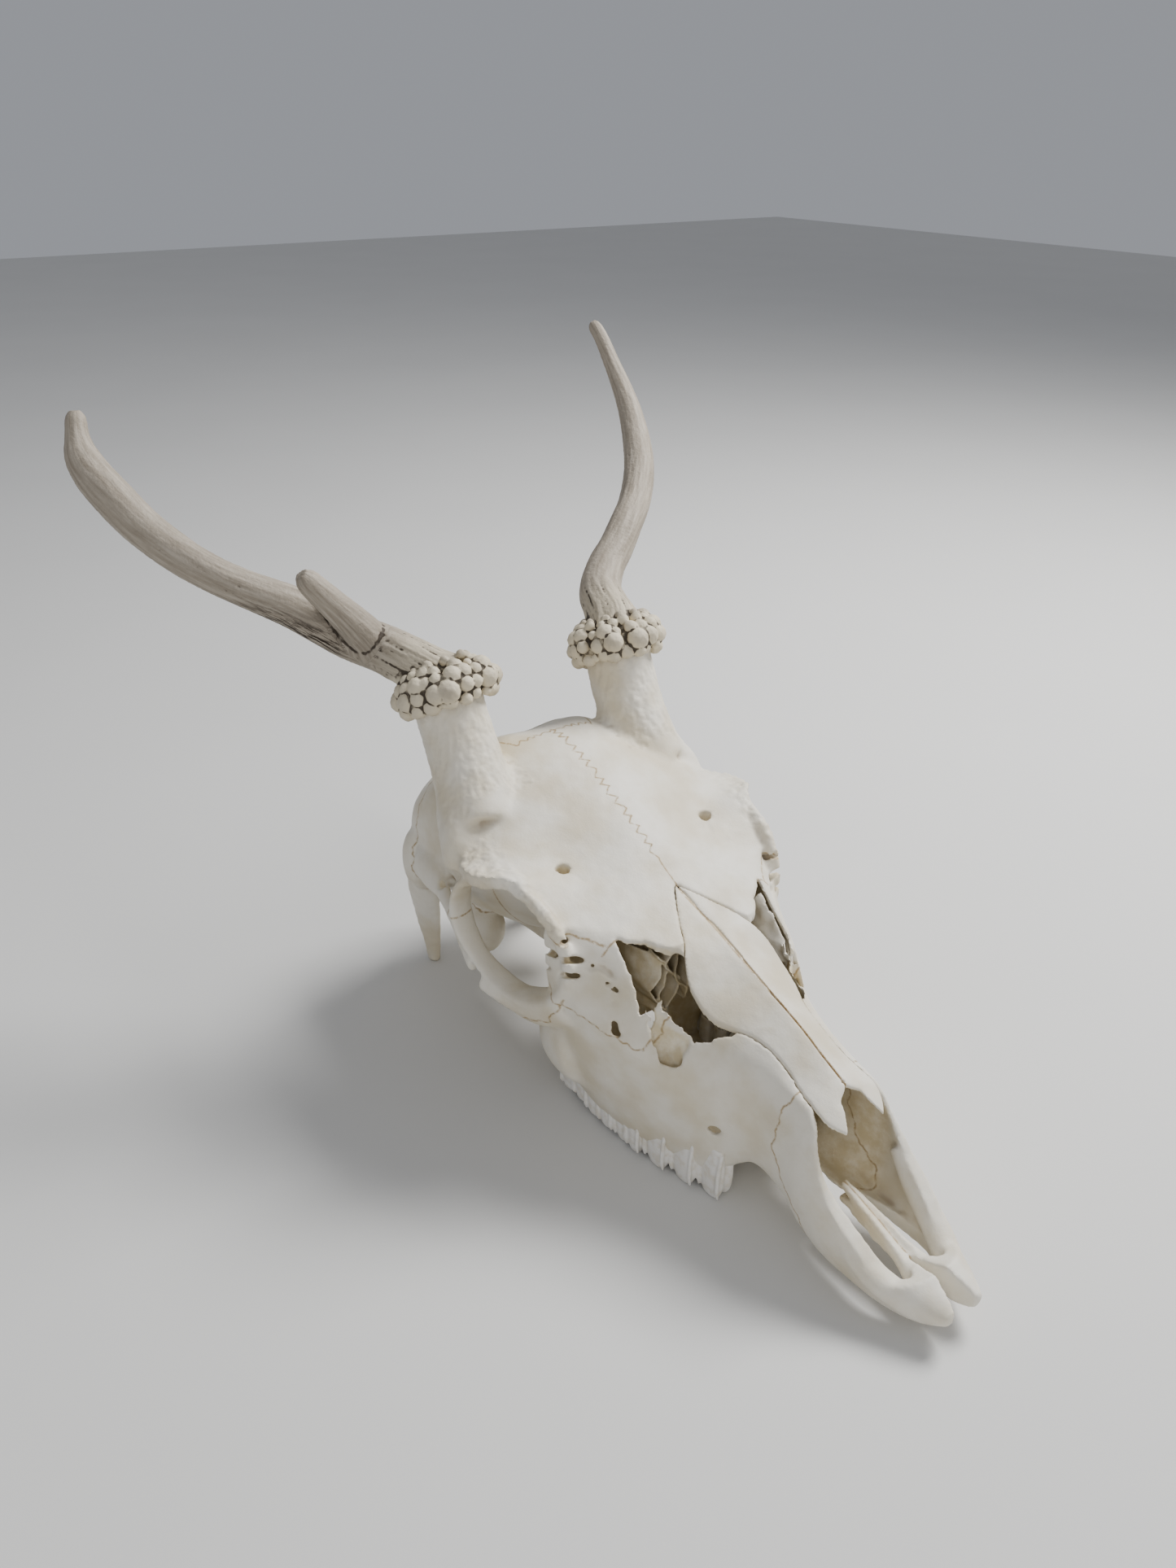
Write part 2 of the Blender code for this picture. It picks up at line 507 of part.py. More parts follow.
# sutures: view, line, and how far out from the middle the cut runs
SUTURES = [
    ("side", [(14, 112), (13, 60), (17, 44), (17, -6)], 0, 60),                  # occipital
    ("side", [(11, BLOCK_LOW_Z), (93, BLOCK_LOW_Z)], 0, 43),                     # base, braincase
    ("side", [(92, BLOCK_LOW_Z), (FACE_BACK_X + 0.1, BLOCK_LOW_Z)], 0, 24),      # base, frontal
    ("side", [(FACE_BACK_X, 45), (FACE_BACK_X, -4)], 0, 19.9),                   # base, maxilla
    ("side", [(FACE_BACK_X, 43.9), (FACE_BACK_X, 88)], 0, 30),                   # frontal, lacrimal
    ("side", [(104, 87.4), (113.5, 87), (128, 84), (135, 82)], 0, 60),           # under the forehead
    ("side", [(134.8, 81.5), (135.2, 90)], 32, 60),                              # its front corner
    ("side", [(110, 64), (124, 61.5), (140, 57.5), (156, 54.5), (158.5, 68)], 0, 64),   # lacrimal, maxilla
    ("side", [(128, 64), (121, 51), (104, 43), (84, 40)], 24, 64),               # zygomatic, maxilla
    ("side", [(54, 70), (84, 72)], 46, 68),                                      # zygomatic, frontal
    ("side", [(52, 44), (50, 70)], 44, 66),                                      # cheek arch
    ("side", [(208, 67), (202, 52), (201, 36), (207, 25), (215, 19), (222, -2)], 0, 26),   # premaxilla
    ("top", [(84, 19.2), (FACE_BACK_X + 0.1, 19.9)], -6, 44.2),                  # base, last molar
    ("top", [(FACE_BACK_X - 0.3, 24.2), (130, 24.2)], 42, 65)]                   # zygomatic, back wall


def smoothstep(t):
    t = min(max(t, 0.0), 1.0)
    return t * t * (3 - 2 * t)


def coronal_x(y, z):
    """The suture behind the frontals: far forward on the roof, swept back round the pedicles."""
    x = CORONAL[0][0]
    for (xa, za), (xb, zb) in zip(CORONAL[:-1], CORONAL[1:]):
        if za >= z >= zb:
            x = xa + (xb - xa) * (za - z) / (za - zb)
    return x + CORONAL_SHIFT * smoothstep((26 - abs(y)) / 9) * smoothstep((z - 92) / 18)


def coronal_heights():
    top, low = CORONAL[0][1], CORONAL[-1][1]
    return [top + (low - top) * row / CORONAL_ROWS for row in range(CORONAL_ROWS + 1)]


def coronal_saw(group):
    """A thin bent sheet along the suture behind the frontals."""
    bm = bmesh.new()
    grid = bmesh.ops.create_grid(bm, x_segments=CORONAL_COLUMNS, y_segments=CORONAL_ROWS, size=1.0)
    heights = coronal_heights()
    for k, vert in enumerate(grid["verts"]):
        row, column = divmod(k, CORONAL_COLUMNS + 1)
        y = CORONAL_REACH * (2 * column / CORONAL_COLUMNS - 1)
        vert.co = at(coronal_x(y, heights[row]), y, heights[row])
    bm.normal_update()
    bmesh.ops.solidify(bm, geom=bm.faces[:], thickness=GAP * MM)
    return new_object("saw_coronal", bm, group)


def parting_cutters(group):
    back = [(coronal_x(0, z) - SAW_OVERLAP, z) for z in coronal_heights()]
    cutters = [prism(group, "saw_midline", back + MIDLINE_FRONT, -GAP / 2, GAP / 2, "side"), coronal_saw(group)]
    for k, (view, line, inner, outer) in enumerate(SUTURES):
        name = f"saw_{k}"
        if view == "top":
            band = ribbon(line, GAP)
            cutters.append(prism(group, name, band, inner, outer))
            cutters.append(prism(group, name, mirrored_outline(band)[::-1], inner, outer))
            continue
        for low, high in [(-outer, outer)] if inner == 0 else [(inner, outer), (-outer, -inner)]:
            cutters.append(prism(group, name, ribbon(line, GAP), low, high, "side"))
    return cutters


def islands(bm):
    """The separate closed bodies of a bmesh, as lists of faces."""
    left = set(bm.faces)
    found = []
    while left:
        seed = left.pop()
        body, edge = [seed], [seed]
        while edge:
            face = edge.pop()
            for border in face.edges:
                for other in border.link_faces:
                    if other in left:
                        left.discard(other)
                        body.append(other)
                        edge.append(other)
        found.append(body)
    return found


def split(obj, seeds, group):
    """Replace obj by one object for each seed: the body nearest to that point; chips are dropped."""
    source = bmesh.new()
    source.from_mesh(obj.data)
    bodies = [body_copy(faces) for faces in islands(source)]
    source.free()
    trees = [BVHTree.FromBMesh(body) for body in bodies]
    owner = {}
    for name, seed in seeds.items():
        nearest = min(range(len(bodies)), key=lambda k: trees[k].find_nearest(at(*seed))[3])
        if nearest in owner:
            raise RuntimeError(f"{name} is still joined to {owner[nearest]}")
        owner[nearest] = name
    for k, body in enumerate(bodies):
        if k in owner:
            new_object(owner[k], body, group)
        else:
            body.free()
    bpy.data.objects.remove(obj, do_unlink=True)


def body_copy(faces):
    """A bmesh of its own for some faces of another."""
    copy = bmesh.new()
    twin = {}
    for face in faces:
        for vert in face.verts:
            if vert not in twin:
                twin[vert] = copy.verts.new(vert.co)
        copy.faces.new([twin[vert] for vert in face.verts])
    return copy


def add_burr(bm, side):
    """The pearled rim at the antler's foot: lumps round a short drum."""
    centre, axis = burr_frame(side)
    side_a = axis.orthogonal().normalized()
    side_b = axis.cross(side_a)
    rings = []
    for level, share in ((-0.56, 0.82), (-0.22, 1.0), (0.2, 1.0), (0.5, 0.8)):
        ring = []
        for k in range(2 * BURR_PEARLS):
            turn = math.pi * k / BURR_PEARLS
            radius = BURR_RADIUS * share + (BURR_SWELL if k % 2 else -0.4)
            ring.append(at(*(centre + axis * level * BURR_HEIGHT
                             + (side_a * math.cos(turn) + side_b * math.sin(turn)) * radius)))
        rings.append(ring)
    add_loft(bm, rings)


def add_nasal(side, group):
    """A nasal bone: a sheet that follows the roof of the face, given its thickness downwards."""
    bm = bmesh.new()
    across = 2
    rows = []
    for x in steps_along(NASAL, NASAL_STEPS):
        inner, outer = eased(NASAL, x)
        rows.append([bm.verts.new(at(x, side * y, roof_height(x, y)))
                     for y in (inner + (outer - inner) * j / across for j in range(across + 1))])
    for low, high in zip(rows[:-1], rows[1:]):
        for j in range(across):
            bm.faces.new((low[j], low[j + 1], high[j + 1], high[j]))
    lower = bmesh.ops.extrude_face_region(bm, geom=bm.faces[:])["geom"]
    sunk = [v for v in lower if isinstance(v, bmesh.types.BMVert)]
    bmesh.ops.translate(bm, vec=(0, 0, -NASAL_THICKNESS * MM), verts=sunk)
    new_object("nasal_" + ("left" if side > 0 else "right"), bm, group)


def roof_height(x, y):
    """Height of the face's top at y out from the middle."""
    z0, *rest, z7 = eased(FACE, x)
    curve = spline([(0.0, z0, 0)] + [(rest[i], rest[i + 1], 0) for i in range(0, len(rest), 2)], 12)
    for a, b in zip(curve[:-1], curve[1:]):
        if a.x <= y <= b.x:
            return a.y + (b.y - a.y) * (y - a.x) / max(b.x - a.x, 1e-9)
    return curve[-1].y


def swept_object(name, stations, side, sides, group):
    bm = bmesh.new()
    add_sweep(bm, smooth_stations([((c[0], side * c[1], c[2]), r) for c, r in stations], 2), sides=sides)
    return new_object(name, bm, group)


def add_antlers(parts, cutters):
    for tag, side, stations in (("right", -1, BEAM_RIGHT), ("left", 1, BEAM_LEFT)):
        antler = swept_object("antler_" + tag + "_beam", stations, side, 10, parts)
        bm = bmesh.new()
        add_burr(bm, side)
        extras = [new_object("burr_" + tag, bm, cutters)]
        if side < 0:
            extras.append(swept_object("brow_tine", BROW_TINE, side, 10, cutters))
        for extra in extras:
            cut(antler, extra, "UNION")
            bpy.data.objects.remove(extra, do_unlink=True)
        saws = [burr_block(cutters, "cut_antler_foot_" + tag, side, upward=False)]
        if side < 0:
            saws.append(fork_saw(side, cutters))
        for saw in saws:
            cut(antler, saw)
            bpy.data.objects.remove(saw, do_unlink=True)
        if side < 0:
            antler.name = "antler_right"
            split(antler, RIGHT_ANTLER, parts)


def fork_saw(side, group):
    """A thin disc across the foot of the brow tine."""
    centre = Vector((TINE_FORK[0], side * TINE_FORK[1], TINE_FORK[2]))
    low, high = (Vector((p[0][0], side * p[0][1], p[0][2])) for p in (BROW_TINE[1], BROW_TINE[2]))
    turn = (high - low).to_track_quat("Z", "Y").to_matrix().to_4x4()
    bm = bmesh.new()
    radius = TINE_FORK_RADIUS * MM
    bmesh.ops.create_cone(bm, cap_ends=True, segments=16, radius1=radius, radius2=radius,
                          depth=GAP * MM, matrix=Matrix.Translation(at(*centre)) @ turn)
    return new_object("saw_fork", bm, group)


def add_ethmoid(group):
    """The mass of scroll bones at the back of the nasal cavity, flat against its back wall."""
    bm = bmesh.new()
    bmesh.ops.create_uvsphere(bm, u_segments=14, v_segments=8, radius=1.0,
                              matrix=Matrix.Translation(at(CAVITY_BACK_X + 1, 0, 68))
                              @ Matrix.Diagonal((24 * MM, 25 * MM, 12 * MM, 1)))
    back = at(CAVITY_BACK_X + 1.6, 0, 0)
    cut_plane = bmesh.ops.bisect_plane(bm, geom=bm.verts[:] + bm.edges[:] + bm.faces[:], plane_co=back,
                                       plane_no=(-1, 0, 0), clear_outer=True)
    rim = [e for e in cut_plane["geom_cut"] if isinstance(e, bmesh.types.BMEdge)]
    bmesh.ops.contextual_create(bm, geom=rim)
    new_object("ethmoid", bm, group)


# material of each kind of part: colour, roughness
LOOKS = {"antler": ((0.43, 0.38, 0.31), 0.62), "nasal": ((0.72, 0.66, 0.55), 0.5),
         "ethmoid": ((0.48, 0.37, 0.25), 0.8), "braincase": ((0.70, 0.64, 0.53), 0.55),
         "bone": ((0.74, 0.68, 0.57), 0.52)}


def paint(obj):
    """Give obj a plain material of its own, after the kind of part its name starts with."""
    colour, roughness = LOOKS.get(obj.name.split("_")[0], LOOKS["bone"])
    material = bpy.data.materials.new(obj.name + "_surface")
    material.use_nodes = True
    surface = material.node_tree.nodes["Principled BSDF"]
    surface.inputs["Base Color"].default_value = (*colour, 1.0)
    surface.inputs["Roughness"].default_value = roughness
    surface.inputs["Metallic"].default_value = 0.0
    obj.data.materials.clear()
    obj.data.materials.append(material)


def main():
    for obj in list(bpy.data.objects):
        bpy.data.objects.remove(obj, do_unlink=True)
    parts = collection(NAME)
    cutters = collection("cutters")
    skull = fuse(skull_forms(parts), VOXEL, SKULL_TRIANGLES)
    for cutter in cavity_cutters(cutters) + parting_cutters(cutters):
        cut(skull, cutter)
        bpy.data.objects.remove(cutter, do_unlink=True)
    seeds = dict(BONES)
    for name, (x, y, z) in PAIRED_BONES.items():
        seeds[name + "_left"] = (x, y, z)
        seeds[name + "_right"] = (x, -y, z)
    split(skull, seeds, parts)
    add_ethmoid(parts)
    for side in (1, -1):
        add_nasal(side, parts)
    add_antlers(parts, cutters)
    for obj in parts.objects:
        paint(obj)


main()
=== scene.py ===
"""Deer skull with antlers: the looks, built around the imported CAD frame.

The bones are grown from the same stations as the CAD model but in a much finer grain, opened
and broken as on the real skull, and parted along their sutures.  Lengths in the tables are
millimetres in the skull's own frame: X forward from near the middle of the occipital condyles,
Y to the animal's left, Z up from the floor.
"""
import json
import math
from functools import partial

import bmesh
import bpy
import numpy as np
from mathutils import Matrix, Vector, noise
from mathutils.bvhtree import BVHTree
from mathutils.kdtree import KDTree

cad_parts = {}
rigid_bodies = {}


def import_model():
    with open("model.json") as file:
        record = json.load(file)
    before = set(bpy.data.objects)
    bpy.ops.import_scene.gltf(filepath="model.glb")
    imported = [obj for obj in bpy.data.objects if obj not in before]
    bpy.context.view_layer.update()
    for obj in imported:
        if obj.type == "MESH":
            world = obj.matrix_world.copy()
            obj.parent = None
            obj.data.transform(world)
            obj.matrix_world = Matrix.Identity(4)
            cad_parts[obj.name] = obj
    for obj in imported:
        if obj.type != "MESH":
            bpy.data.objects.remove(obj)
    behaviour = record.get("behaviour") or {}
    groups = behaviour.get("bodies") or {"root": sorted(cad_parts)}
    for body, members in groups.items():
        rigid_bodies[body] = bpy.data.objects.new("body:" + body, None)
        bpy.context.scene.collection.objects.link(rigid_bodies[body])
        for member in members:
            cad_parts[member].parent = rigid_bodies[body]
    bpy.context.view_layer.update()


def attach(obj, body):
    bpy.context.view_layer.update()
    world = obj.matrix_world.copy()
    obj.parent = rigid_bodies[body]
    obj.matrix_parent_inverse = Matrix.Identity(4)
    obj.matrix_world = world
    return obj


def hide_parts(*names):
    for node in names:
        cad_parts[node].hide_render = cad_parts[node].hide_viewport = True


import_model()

bl_info = {
    "name": "Deer skull",
    "version": (1, 0, 0),
    "blender": (4, 5, 0),
    "location": "View3D > Sidebar > Deer skull",
    "description": "Builds the bones, teeth and antlers of a young buck's skull",
    "category": "Add Mesh",
}

MM = 0.001
FOOTPRINT_MIDDLE = Vector((91.0, -2.3, 0.0))

# ---------------------------------------------------------------- stations of the skull
CAVITY_BACK_X = 119.0
# x, half width, top, bottom, squareness
BRAINCASE = [
    (-3, 22, 86, 54, 2.4), (0, 32, 91, 50, 2.4), (4, 36.5, 95.5, 46, 2.3), (10, 38.5, 100, 42, 2.5),
    (18, 39.5, 105.5, 40, 2.6), (32, 40, 112.5, 39, 2.5), (46, 39, 117.5, 40, 2.3),
    (60, 35.5, 119, 42, 2.3), (74, 30, 116, 46, 2.2), (88, 24, 110, 50, 2.2),
    (102, 21.5, 103, 51, 2.2), (119, 23, 93, 52, 2.4)]
# x, half width, height at the middle, half way out, at the rim, thickness
FOREHEAD = [(34, 30, 115.4, 116.2, 106, 9), (46, 36, 121, 120.8, 108, 9), (55, 40, 123.2, 119.6, 106, 9),
            (64, 46, 121.6, 117.0, 102, 9), (72, 54, 119.2, 113.4, 99.0, 8),
            (80, 60, 116.0, 109.8, 98.4, 7), (88, 62.6, 112.4, 106.0, 99.6, 6),
            (95, 61.6, 109.2, 102.8, 101.2, 6), (101, 58.5, 106.4, 100.2, 102.8, 6),
            (106, 54, 103.8, 98.4, 101.8, 6), (112, 52.4, 100.6, 96.4, 97.2, 5),
            (118, 50, 97.2, 93.8, 92.6, 4.5), (123, 46, 94.2, 91.8, 89.4, 4),
            (129, 39, 91.2, 90.2, 87.4, 3.6), (135, 32.5, 89.2, 88.2, 86.4, 3.2),
            (142, 27, 87.0, 86.6, 85.2, 3), (149, 23, 85.2, 84.8, 84.2, 3)]
# x, ridge, roof edge, upper wall, cheek, low wall, gum outside, gum inside, palate
FACE = [
    (115, 98.6, (27, 95.6), (46, 92), (48.5, 76), (45, 54), (35, 15), (24, 9.5), 19.0),
    (120, 95.6, (26, 93.2), (45, 88.5), (49, 74), (45.5, 53), (34.5, 12.5), (23, 9), 19.0),
    (127, 92.0, (24, 90.4), (41, 86.2), (48.8, 72), (45.5, 50), (34, 10), (22, 8.5), 18.5),
    (137, 88.6, (20, 87.0), (33.5, 84), (44.5, 66), (42, 44), (33, 9), (21, 8.5), 18.0),
    (150, 85.0, (17.5, 81.8), (33.5, 71), (40, 57), (37.5, 38), (31, 9), (19, 8.5), 17.5),
    (163, 80.6, (18.5, 71.5), (28.5, 62), (33.5, 49), (32.5, 33), (27, 9), (17, 8.5), 17.0),
    (176, 76.2, (15.5, 66.8), (22, 59), (26.5, 44), (26.5, 29), (23, 9.5), (14.5, 9), 16.5),
    (190, 71.2, (11.4, 64.6), (17, 58.5), (19.5, 44), (20, 31), (17.5, 22), (12.5, 18.5), 17.5),
    (203, 65.2, (11.6, 59.4), (15.2, 56.5), (18, 44), (18.6, 31), (16, 19), (11.5, 16), 17.5),
    (214, 60.2, (12.5, 55.8), (16.4, 51), (19.8, 38), (20.2, 26), (17.6, 13.4), (12.5, 11.8), 17.0),
    (225, 53.5, (13, 47), (17.8, 40), (20.8, 30), (20.8, 20), (17.8, 9.6), (12.5, 8.6), 16.2),
    (237, 41, (13, 36), (17.4, 29), (20, 22), (19.8, 15), (17, 7.8), (12, 7), 14.5),
    (248, 26, (9, 23.5), (14, 20.4), (17, 16), (17, 11.6), (15, 6.2), (10.8, 5.6), 12.0),
    (258, 19, (6.6, 18.4), (11, 16.6), (13.4, 13), (13.2, 9.6), (11.4, 5.4), (8, 5.2), 8.5),
    (264, 16.5, (6, 16), (9, 14.6), (10.6, 12.4), (10.4, 10.2), (9, 7.6), (6.6, 7), 8.0),
    (268, 14, (6.4, 13.8), (7.6, 13.2), (8.4, 12), (8.2, 10.8), (7.6, 9.6), (6.6, 9.2), 9.4)]
# sweeps of the left side: centre, thickness, depth
BASE = [((2, 0, 48), 9, 15), ((18, 0, 38), 8, 12), ((45, 0, 36), 7, 10), ((70, 0, 38), 7, 10),
        ((92, 0, 40), 7, 13), ((118, 0, 41), 7, 15)]
SOCKET_FLOOR = [((124, 42, 58), 9, 8), ((112, 44, 49), 7, 8), ((98, 48, 46.5), 4.5, 6),
                ((84, 53, 48.5), 3.5, 4.5)]
CHEEK_TUBER = [((122, 35, 33), 16, 11), ((110, 35, 31), 14, 9.5), ((100, 33, 30), 10, 6),
               ((95, 31, 29), 5, 3)]
CHEEK_ARCH = [((79, 54.5, 53), 4.2, 2.4), ((66, 50.6, 54.5), 3.6, 2.2), ((52, 46.6, 57), 3.4, 2.2),
              ((38, 42.6, 59), 4.2, 2.8), ((27, 40, 60), 7.5, 4.5), ((16, 38, 60), 8, 5)]
PARACONDYLAR = [((7, 34, 52), 9, 4.4), ((5, 33, 38), 8.6, 3.4), ((3.5, 31, 24), 7.0, 2.8),
                ((2.4, 29, 10), 4.6, 2.5), ((2, 28, -1), 2.8, 2.2)]
PALATINE = [((120, 13, 26), 12, 3.2), ((102, 13, 28), 12.5, 2.4), ((88, 12.5, 32), 10.5, 2.0),
            ((78, 12, 36), 6, 1.8)]
PEDICLE = [((62, 40, 102), 19, 15), ((57, 38.6, 112), 15.5, 14), ((50.5, 38.4, 124), 13.0, 13.4),
           ((45, 38.8, 135), 12.6, 13.0), ((38.5, 39.4, 150), 12.8, 12.8)]
PEDICLE_ROOT = [((52, 42, 122), 9, 8), ((60, 46.5, 107), 10, 8.5), ((68, 52.5, 99), 8.5, 7),
                ((71, 56.5, 90), 5, 4)]
# egg shapes of the left side: centre, half sizes, turn about the vertical
MASTOID = ((9, 35, 58), (8, 8.5, 15), 0.0)
CONDYLE = ((-1, 14.5, 47), (8.5, 9, 12), -0.5)
BULLA = ((36, 23, 34), (12, 8.5, 10.5), 0.35)
ORBIT_CENTRE, ORBIT_LONG, ORBIT_HIGH = (99.5, 50.8, 74.0), 29.0, 24.0
ORBIT_FRONT_DEPTH, ORBIT_BACK_DEPTH = 2.3, 5.5
# where forms run softly into each other, left side: centre, reach
BLENDS = [((68, 38, 108), 30), ((52, 40, 118), 24), ((78, 30, 110), 22), ((30, 34, 96), 22),
          ((66, 50, 94), 16), ((130, 40, 84), 9), ((118, 40, 30), 22), ((134, 36, 30), 20)]

# openings
NOSTRIL_MARGIN = [(205.5, 62), (210.5, 57), (215, 52), (218, 45), (221.5, 39), (227, 32.5), (233, 28),
                  (239, 23.5), (245, 18.4), (251, 16.4), (258, 19.4), (276, 24)]
# opening behind the palate, from above, and the ground under the whole skull with the levels cut away
CHOANA = [(70, -9), (126, -9), (126, 9), (70, 9)]
GROUND_OUTLINE, GROUND_LEVELS = [(-20, -70), (290, -70), (290, 70), (-20, 70)], (-12, 0)
# left nasal bone from above: x, inner edge, outer edge
NASAL = [(127.2, 0.2, 0.6), (134, 0.2, 5.2), (141, 0.2, 9.6), (148, 0.2, 13.4), (152, 0.2, 16.4),
         (157, 0.2, 18.8), (163, 0.2, 19.2), (170, 0.2, 18), (176, 0.2, 15.2), (182, 0.2, 12.4),
         (189, 0.2, 11), (197, 0.2, 10.7), (205, 0.2, 11.8), (209, 0.2, 12.2), (212, 0.25, 12.6),
         (213.4, 2.6, 12.6), (214.4, 4.4, 12.5), (217, 5.2, 11.8), (219.2, 6.4, 10.5), (221, 7.5, 9.1),
         (221.6, 8.0, 8.5)]
NASAL_SEAT_END = 216.0
# broken window between frontal, lacrimal, nasal and maxilla, from above, left side
VACUITY = [(133.6, 32.9), (134.4, 31.8), (137.2, 29.9), (139.3, 27.2), (141.2, 23.8), (143.8, 22.8),
           (146.1, 21.0), (148.0, 19.0), (149.2, 16.2), (151.8, 15.4), (160, 16), (168, 16), (176.8, 13.6),
           (176.9, 16.0), (174.8, 18.2), (173.2, 20.4), (170.6, 23.0), (168.4, 24.6), (167.3, 26.6),
           (167.0, 28.6), (166.2, 30.3), (165.0, 31.8), (162.4, 33.2), (159.6, 33.9), (157.0, 33.9),
           (155.4, 35.2), (154.2, 35.6), (151.0, 34.6), (147.6, 33.6), (144.8, 33.2), (140.3, 33.0)]
FISSURE = [(214.6, 2.6), (215.4, 4.4), (214.8, 6.2), (219, 8.4), (226, 10.8), (234, 12.0), (241, 12.7),
           (247, 12.0), (251, 10.0), (252.6, 7.8), (251.2, 5.6), (247.5, 4.0), (241, 3.5), (234, 3.2),
           (228, 2.8), (221, 2.2), (217, 1.8)]
SNOUT_NOTCH = [(237, 0.25), (246, 0.8), (253, 1.6), (260, 3.0), (267, 4.6), (276, 7.0)]
# height of the snout's floor between the side rods, in side view, and the gap in the palate behind it
SNOUT_TROUGH = [(206, 26), (214, 24.5), (222, 22.4), (230, 19.6), (238, 16.8), (244, 15.0), (249, 16.0),
                (253, 18.0), (257, 21), (261, 26), (261, 60), (206, 60)]
PALATE_SLIT = [(198.6, 0.0), (202, -1.3), (206.5, -1.1), (210.5, -2.2), (216.2, -3.4), (216.6, 3.4),
               (211.4, 1.6), (206.2, 1.8), (202, 1.0)]

# teeth: x of the crown's middle, y, length, width, level of the worn face, lobes
TEETH = [(178, 20.2, 10.5, 8.5, 0.0, 1), (167.2, 22.8, 11, 10, 0.0, 1), (156, 25, 11, 11.5, 0.0, 1),
         (143, 26.6, 13.6, 12.5, 0.4, 2), (127.6, 27.2, 15.6, 13, 1.0, 2), (111.4, 26.6, 16, 12.5, 1.9, 2)]

TOOTH_SIDES = 24
# levels of a crown's rings, with their shares of its length and of its width
CROWN_RINGS = [(22, 0.86, 0.9), (15, 0.98, 1.0), (9, 1.04, 1.0), (5.2, 1.0, 0.92), (3.0, 0.9, 0.82),
               (1.4, 0.7, 0.62), (0.25, 0.4, 0.36)]
TEETH_OUTLINE = [(80, -70), (200, -70), (200, 70), (80, 70)]

# antlers, y outward: centre, radius
BURR_CENTRE = (40.2, 39.0, 146.6)
BURR_AXIS = Vector((-0.42, 0.06, 0.90)).normalized()
BURR_RADIUS, BURR_HEIGHT = 16.2, 8.6
PLUG_RADIUS, PLUG_DEPTH = 13.0, 30     # room for the pedicle's end under the burr
MIDDLING_PEARL = 0.0027                # the radius, in metres, that the sizes below are drawn for
# rows of pearls: level and reach as shares of the burr's height and radius, with how many and how large
PEARL_ROWS = [(-0.62, 23, 0.97, 2.6), (-0.12, 19, 1.04, 3.5), (0.34, 20, 0.96, 3.1), (0.72, 17, 0.80, 2.6),
              (1.0, 12, 0.66, 1.9)]
BEAM_RIGHT = [((40.5, 39, 147.6), 12.0), ((36, 41.5, 149.8), 10.4), ((28.4, 45, 152.6), 9.4),
              ((17, 49.5, 155.2), 9.0), ((6.7, 58.5, 159.8), 9.0), ((2, 67.4, 165.9), 8.3),
              ((-3.5, 77, 172.2), 7.6), ((-12.4, 89.8, 179), 6.7), ((-19, 97.5, 183.6), 6.6),
              ((-27.5, 104.4, 188.8), 6.8), ((-40, 112.4, 197.4), 7.2), ((-51.4, 118, 206.6), 7.4),
              ((-60.5, 121.4, 213.6), 7.0), ((-66.4, 122.6, 219.8), 6.0), ((-70, 122, 226.2), 4.2),
              ((-72.6, 120.8, 231.6), 3.6), ((-73.4, 120.4, 234.2), 2.0)]
BEAM_LEFT = [((40.5, 39.5, 147.6), 12.0), ((35.5, 42, 151.5), 10.4), ((26, 45.2, 155), 9.0),
             ((16.5, 49.5, 158), 8.6), ((8, 58.5, 163.5), 7.8), ((3, 67.5, 169), 7.3),
             ((-3, 77.5, 176), 7.0), ((-13, 90.4, 182.5), 6.8), ((-26, 102.6, 191), 6.6),
             ((-38, 110.6, 199.5), 6.2), ((-50, 116.2, 209.6), 5.3), ((-61, 119.4, 219), 4.4),
             ((-70, 120.4, 228.6), 3.6), ((-78, 120.4, 238), 3.2), ((-83, 120.4, 242.4), 2.9),
             ((-84.6, 120.4, 243.8), 1.8)]
BROW_TINE = [((13.6, 53.5, 158.2), 7.6), ((14.2, 59.2, 165.6), 6.8), ((13.4, 66, 174), 5.6),
             ((12.3, 72.3, 181.4), 4.9), ((11.7, 75.9, 185.8), 4.2), ((11.4, 77.6, 188.2), 2.4)]
# middle of the dark painted shadow in the fork where the brow tine leaves the beam
TINE_FORK_SHADOW = (8, -62, 165)


# ---------------------------------------------------------------- stage
# the camera's place in the skull's frame, its axes, and its focal length and picture height in pixels
CAMERA_PLACE = (417.569, -258.288, 335.279)
CAMERA_RIGHT = Vector((0.59815824, 0.80131709, 0.00988124))
CAMERA_DOWN = Vector((0.37870904, -0.27178492, -0.88471036))
CAMERA_FORWARD = Vector((-0.70624796, 0.5329389, -0.46603641))
FOCAL_PIXELS, IMAGE_HEIGHT, SENSOR = 1600, 1927, 36.0
# name, place in metres, size in metres, watts
LIGHTS = (("key_light", (0.05, 0.75, 1.0), 0.5, 15), ("fill_light", (0.9, -0.6, 0.7), 1.0, 3))


# ---------------------------------------------------------------- geometry helpers
def at(x, y, z):
    """A point of the skull's frame in metres about the middle of the footprint."""
    return (Vector((x, y, z)) - FOOTPRINT_MIDDLE) * MM


def mirror(points, side):
    """The same points on the given side, 1 for left and -1 for right."""
    return [(p[0], side * p[1]) + tuple(p[2:]) for p in points]


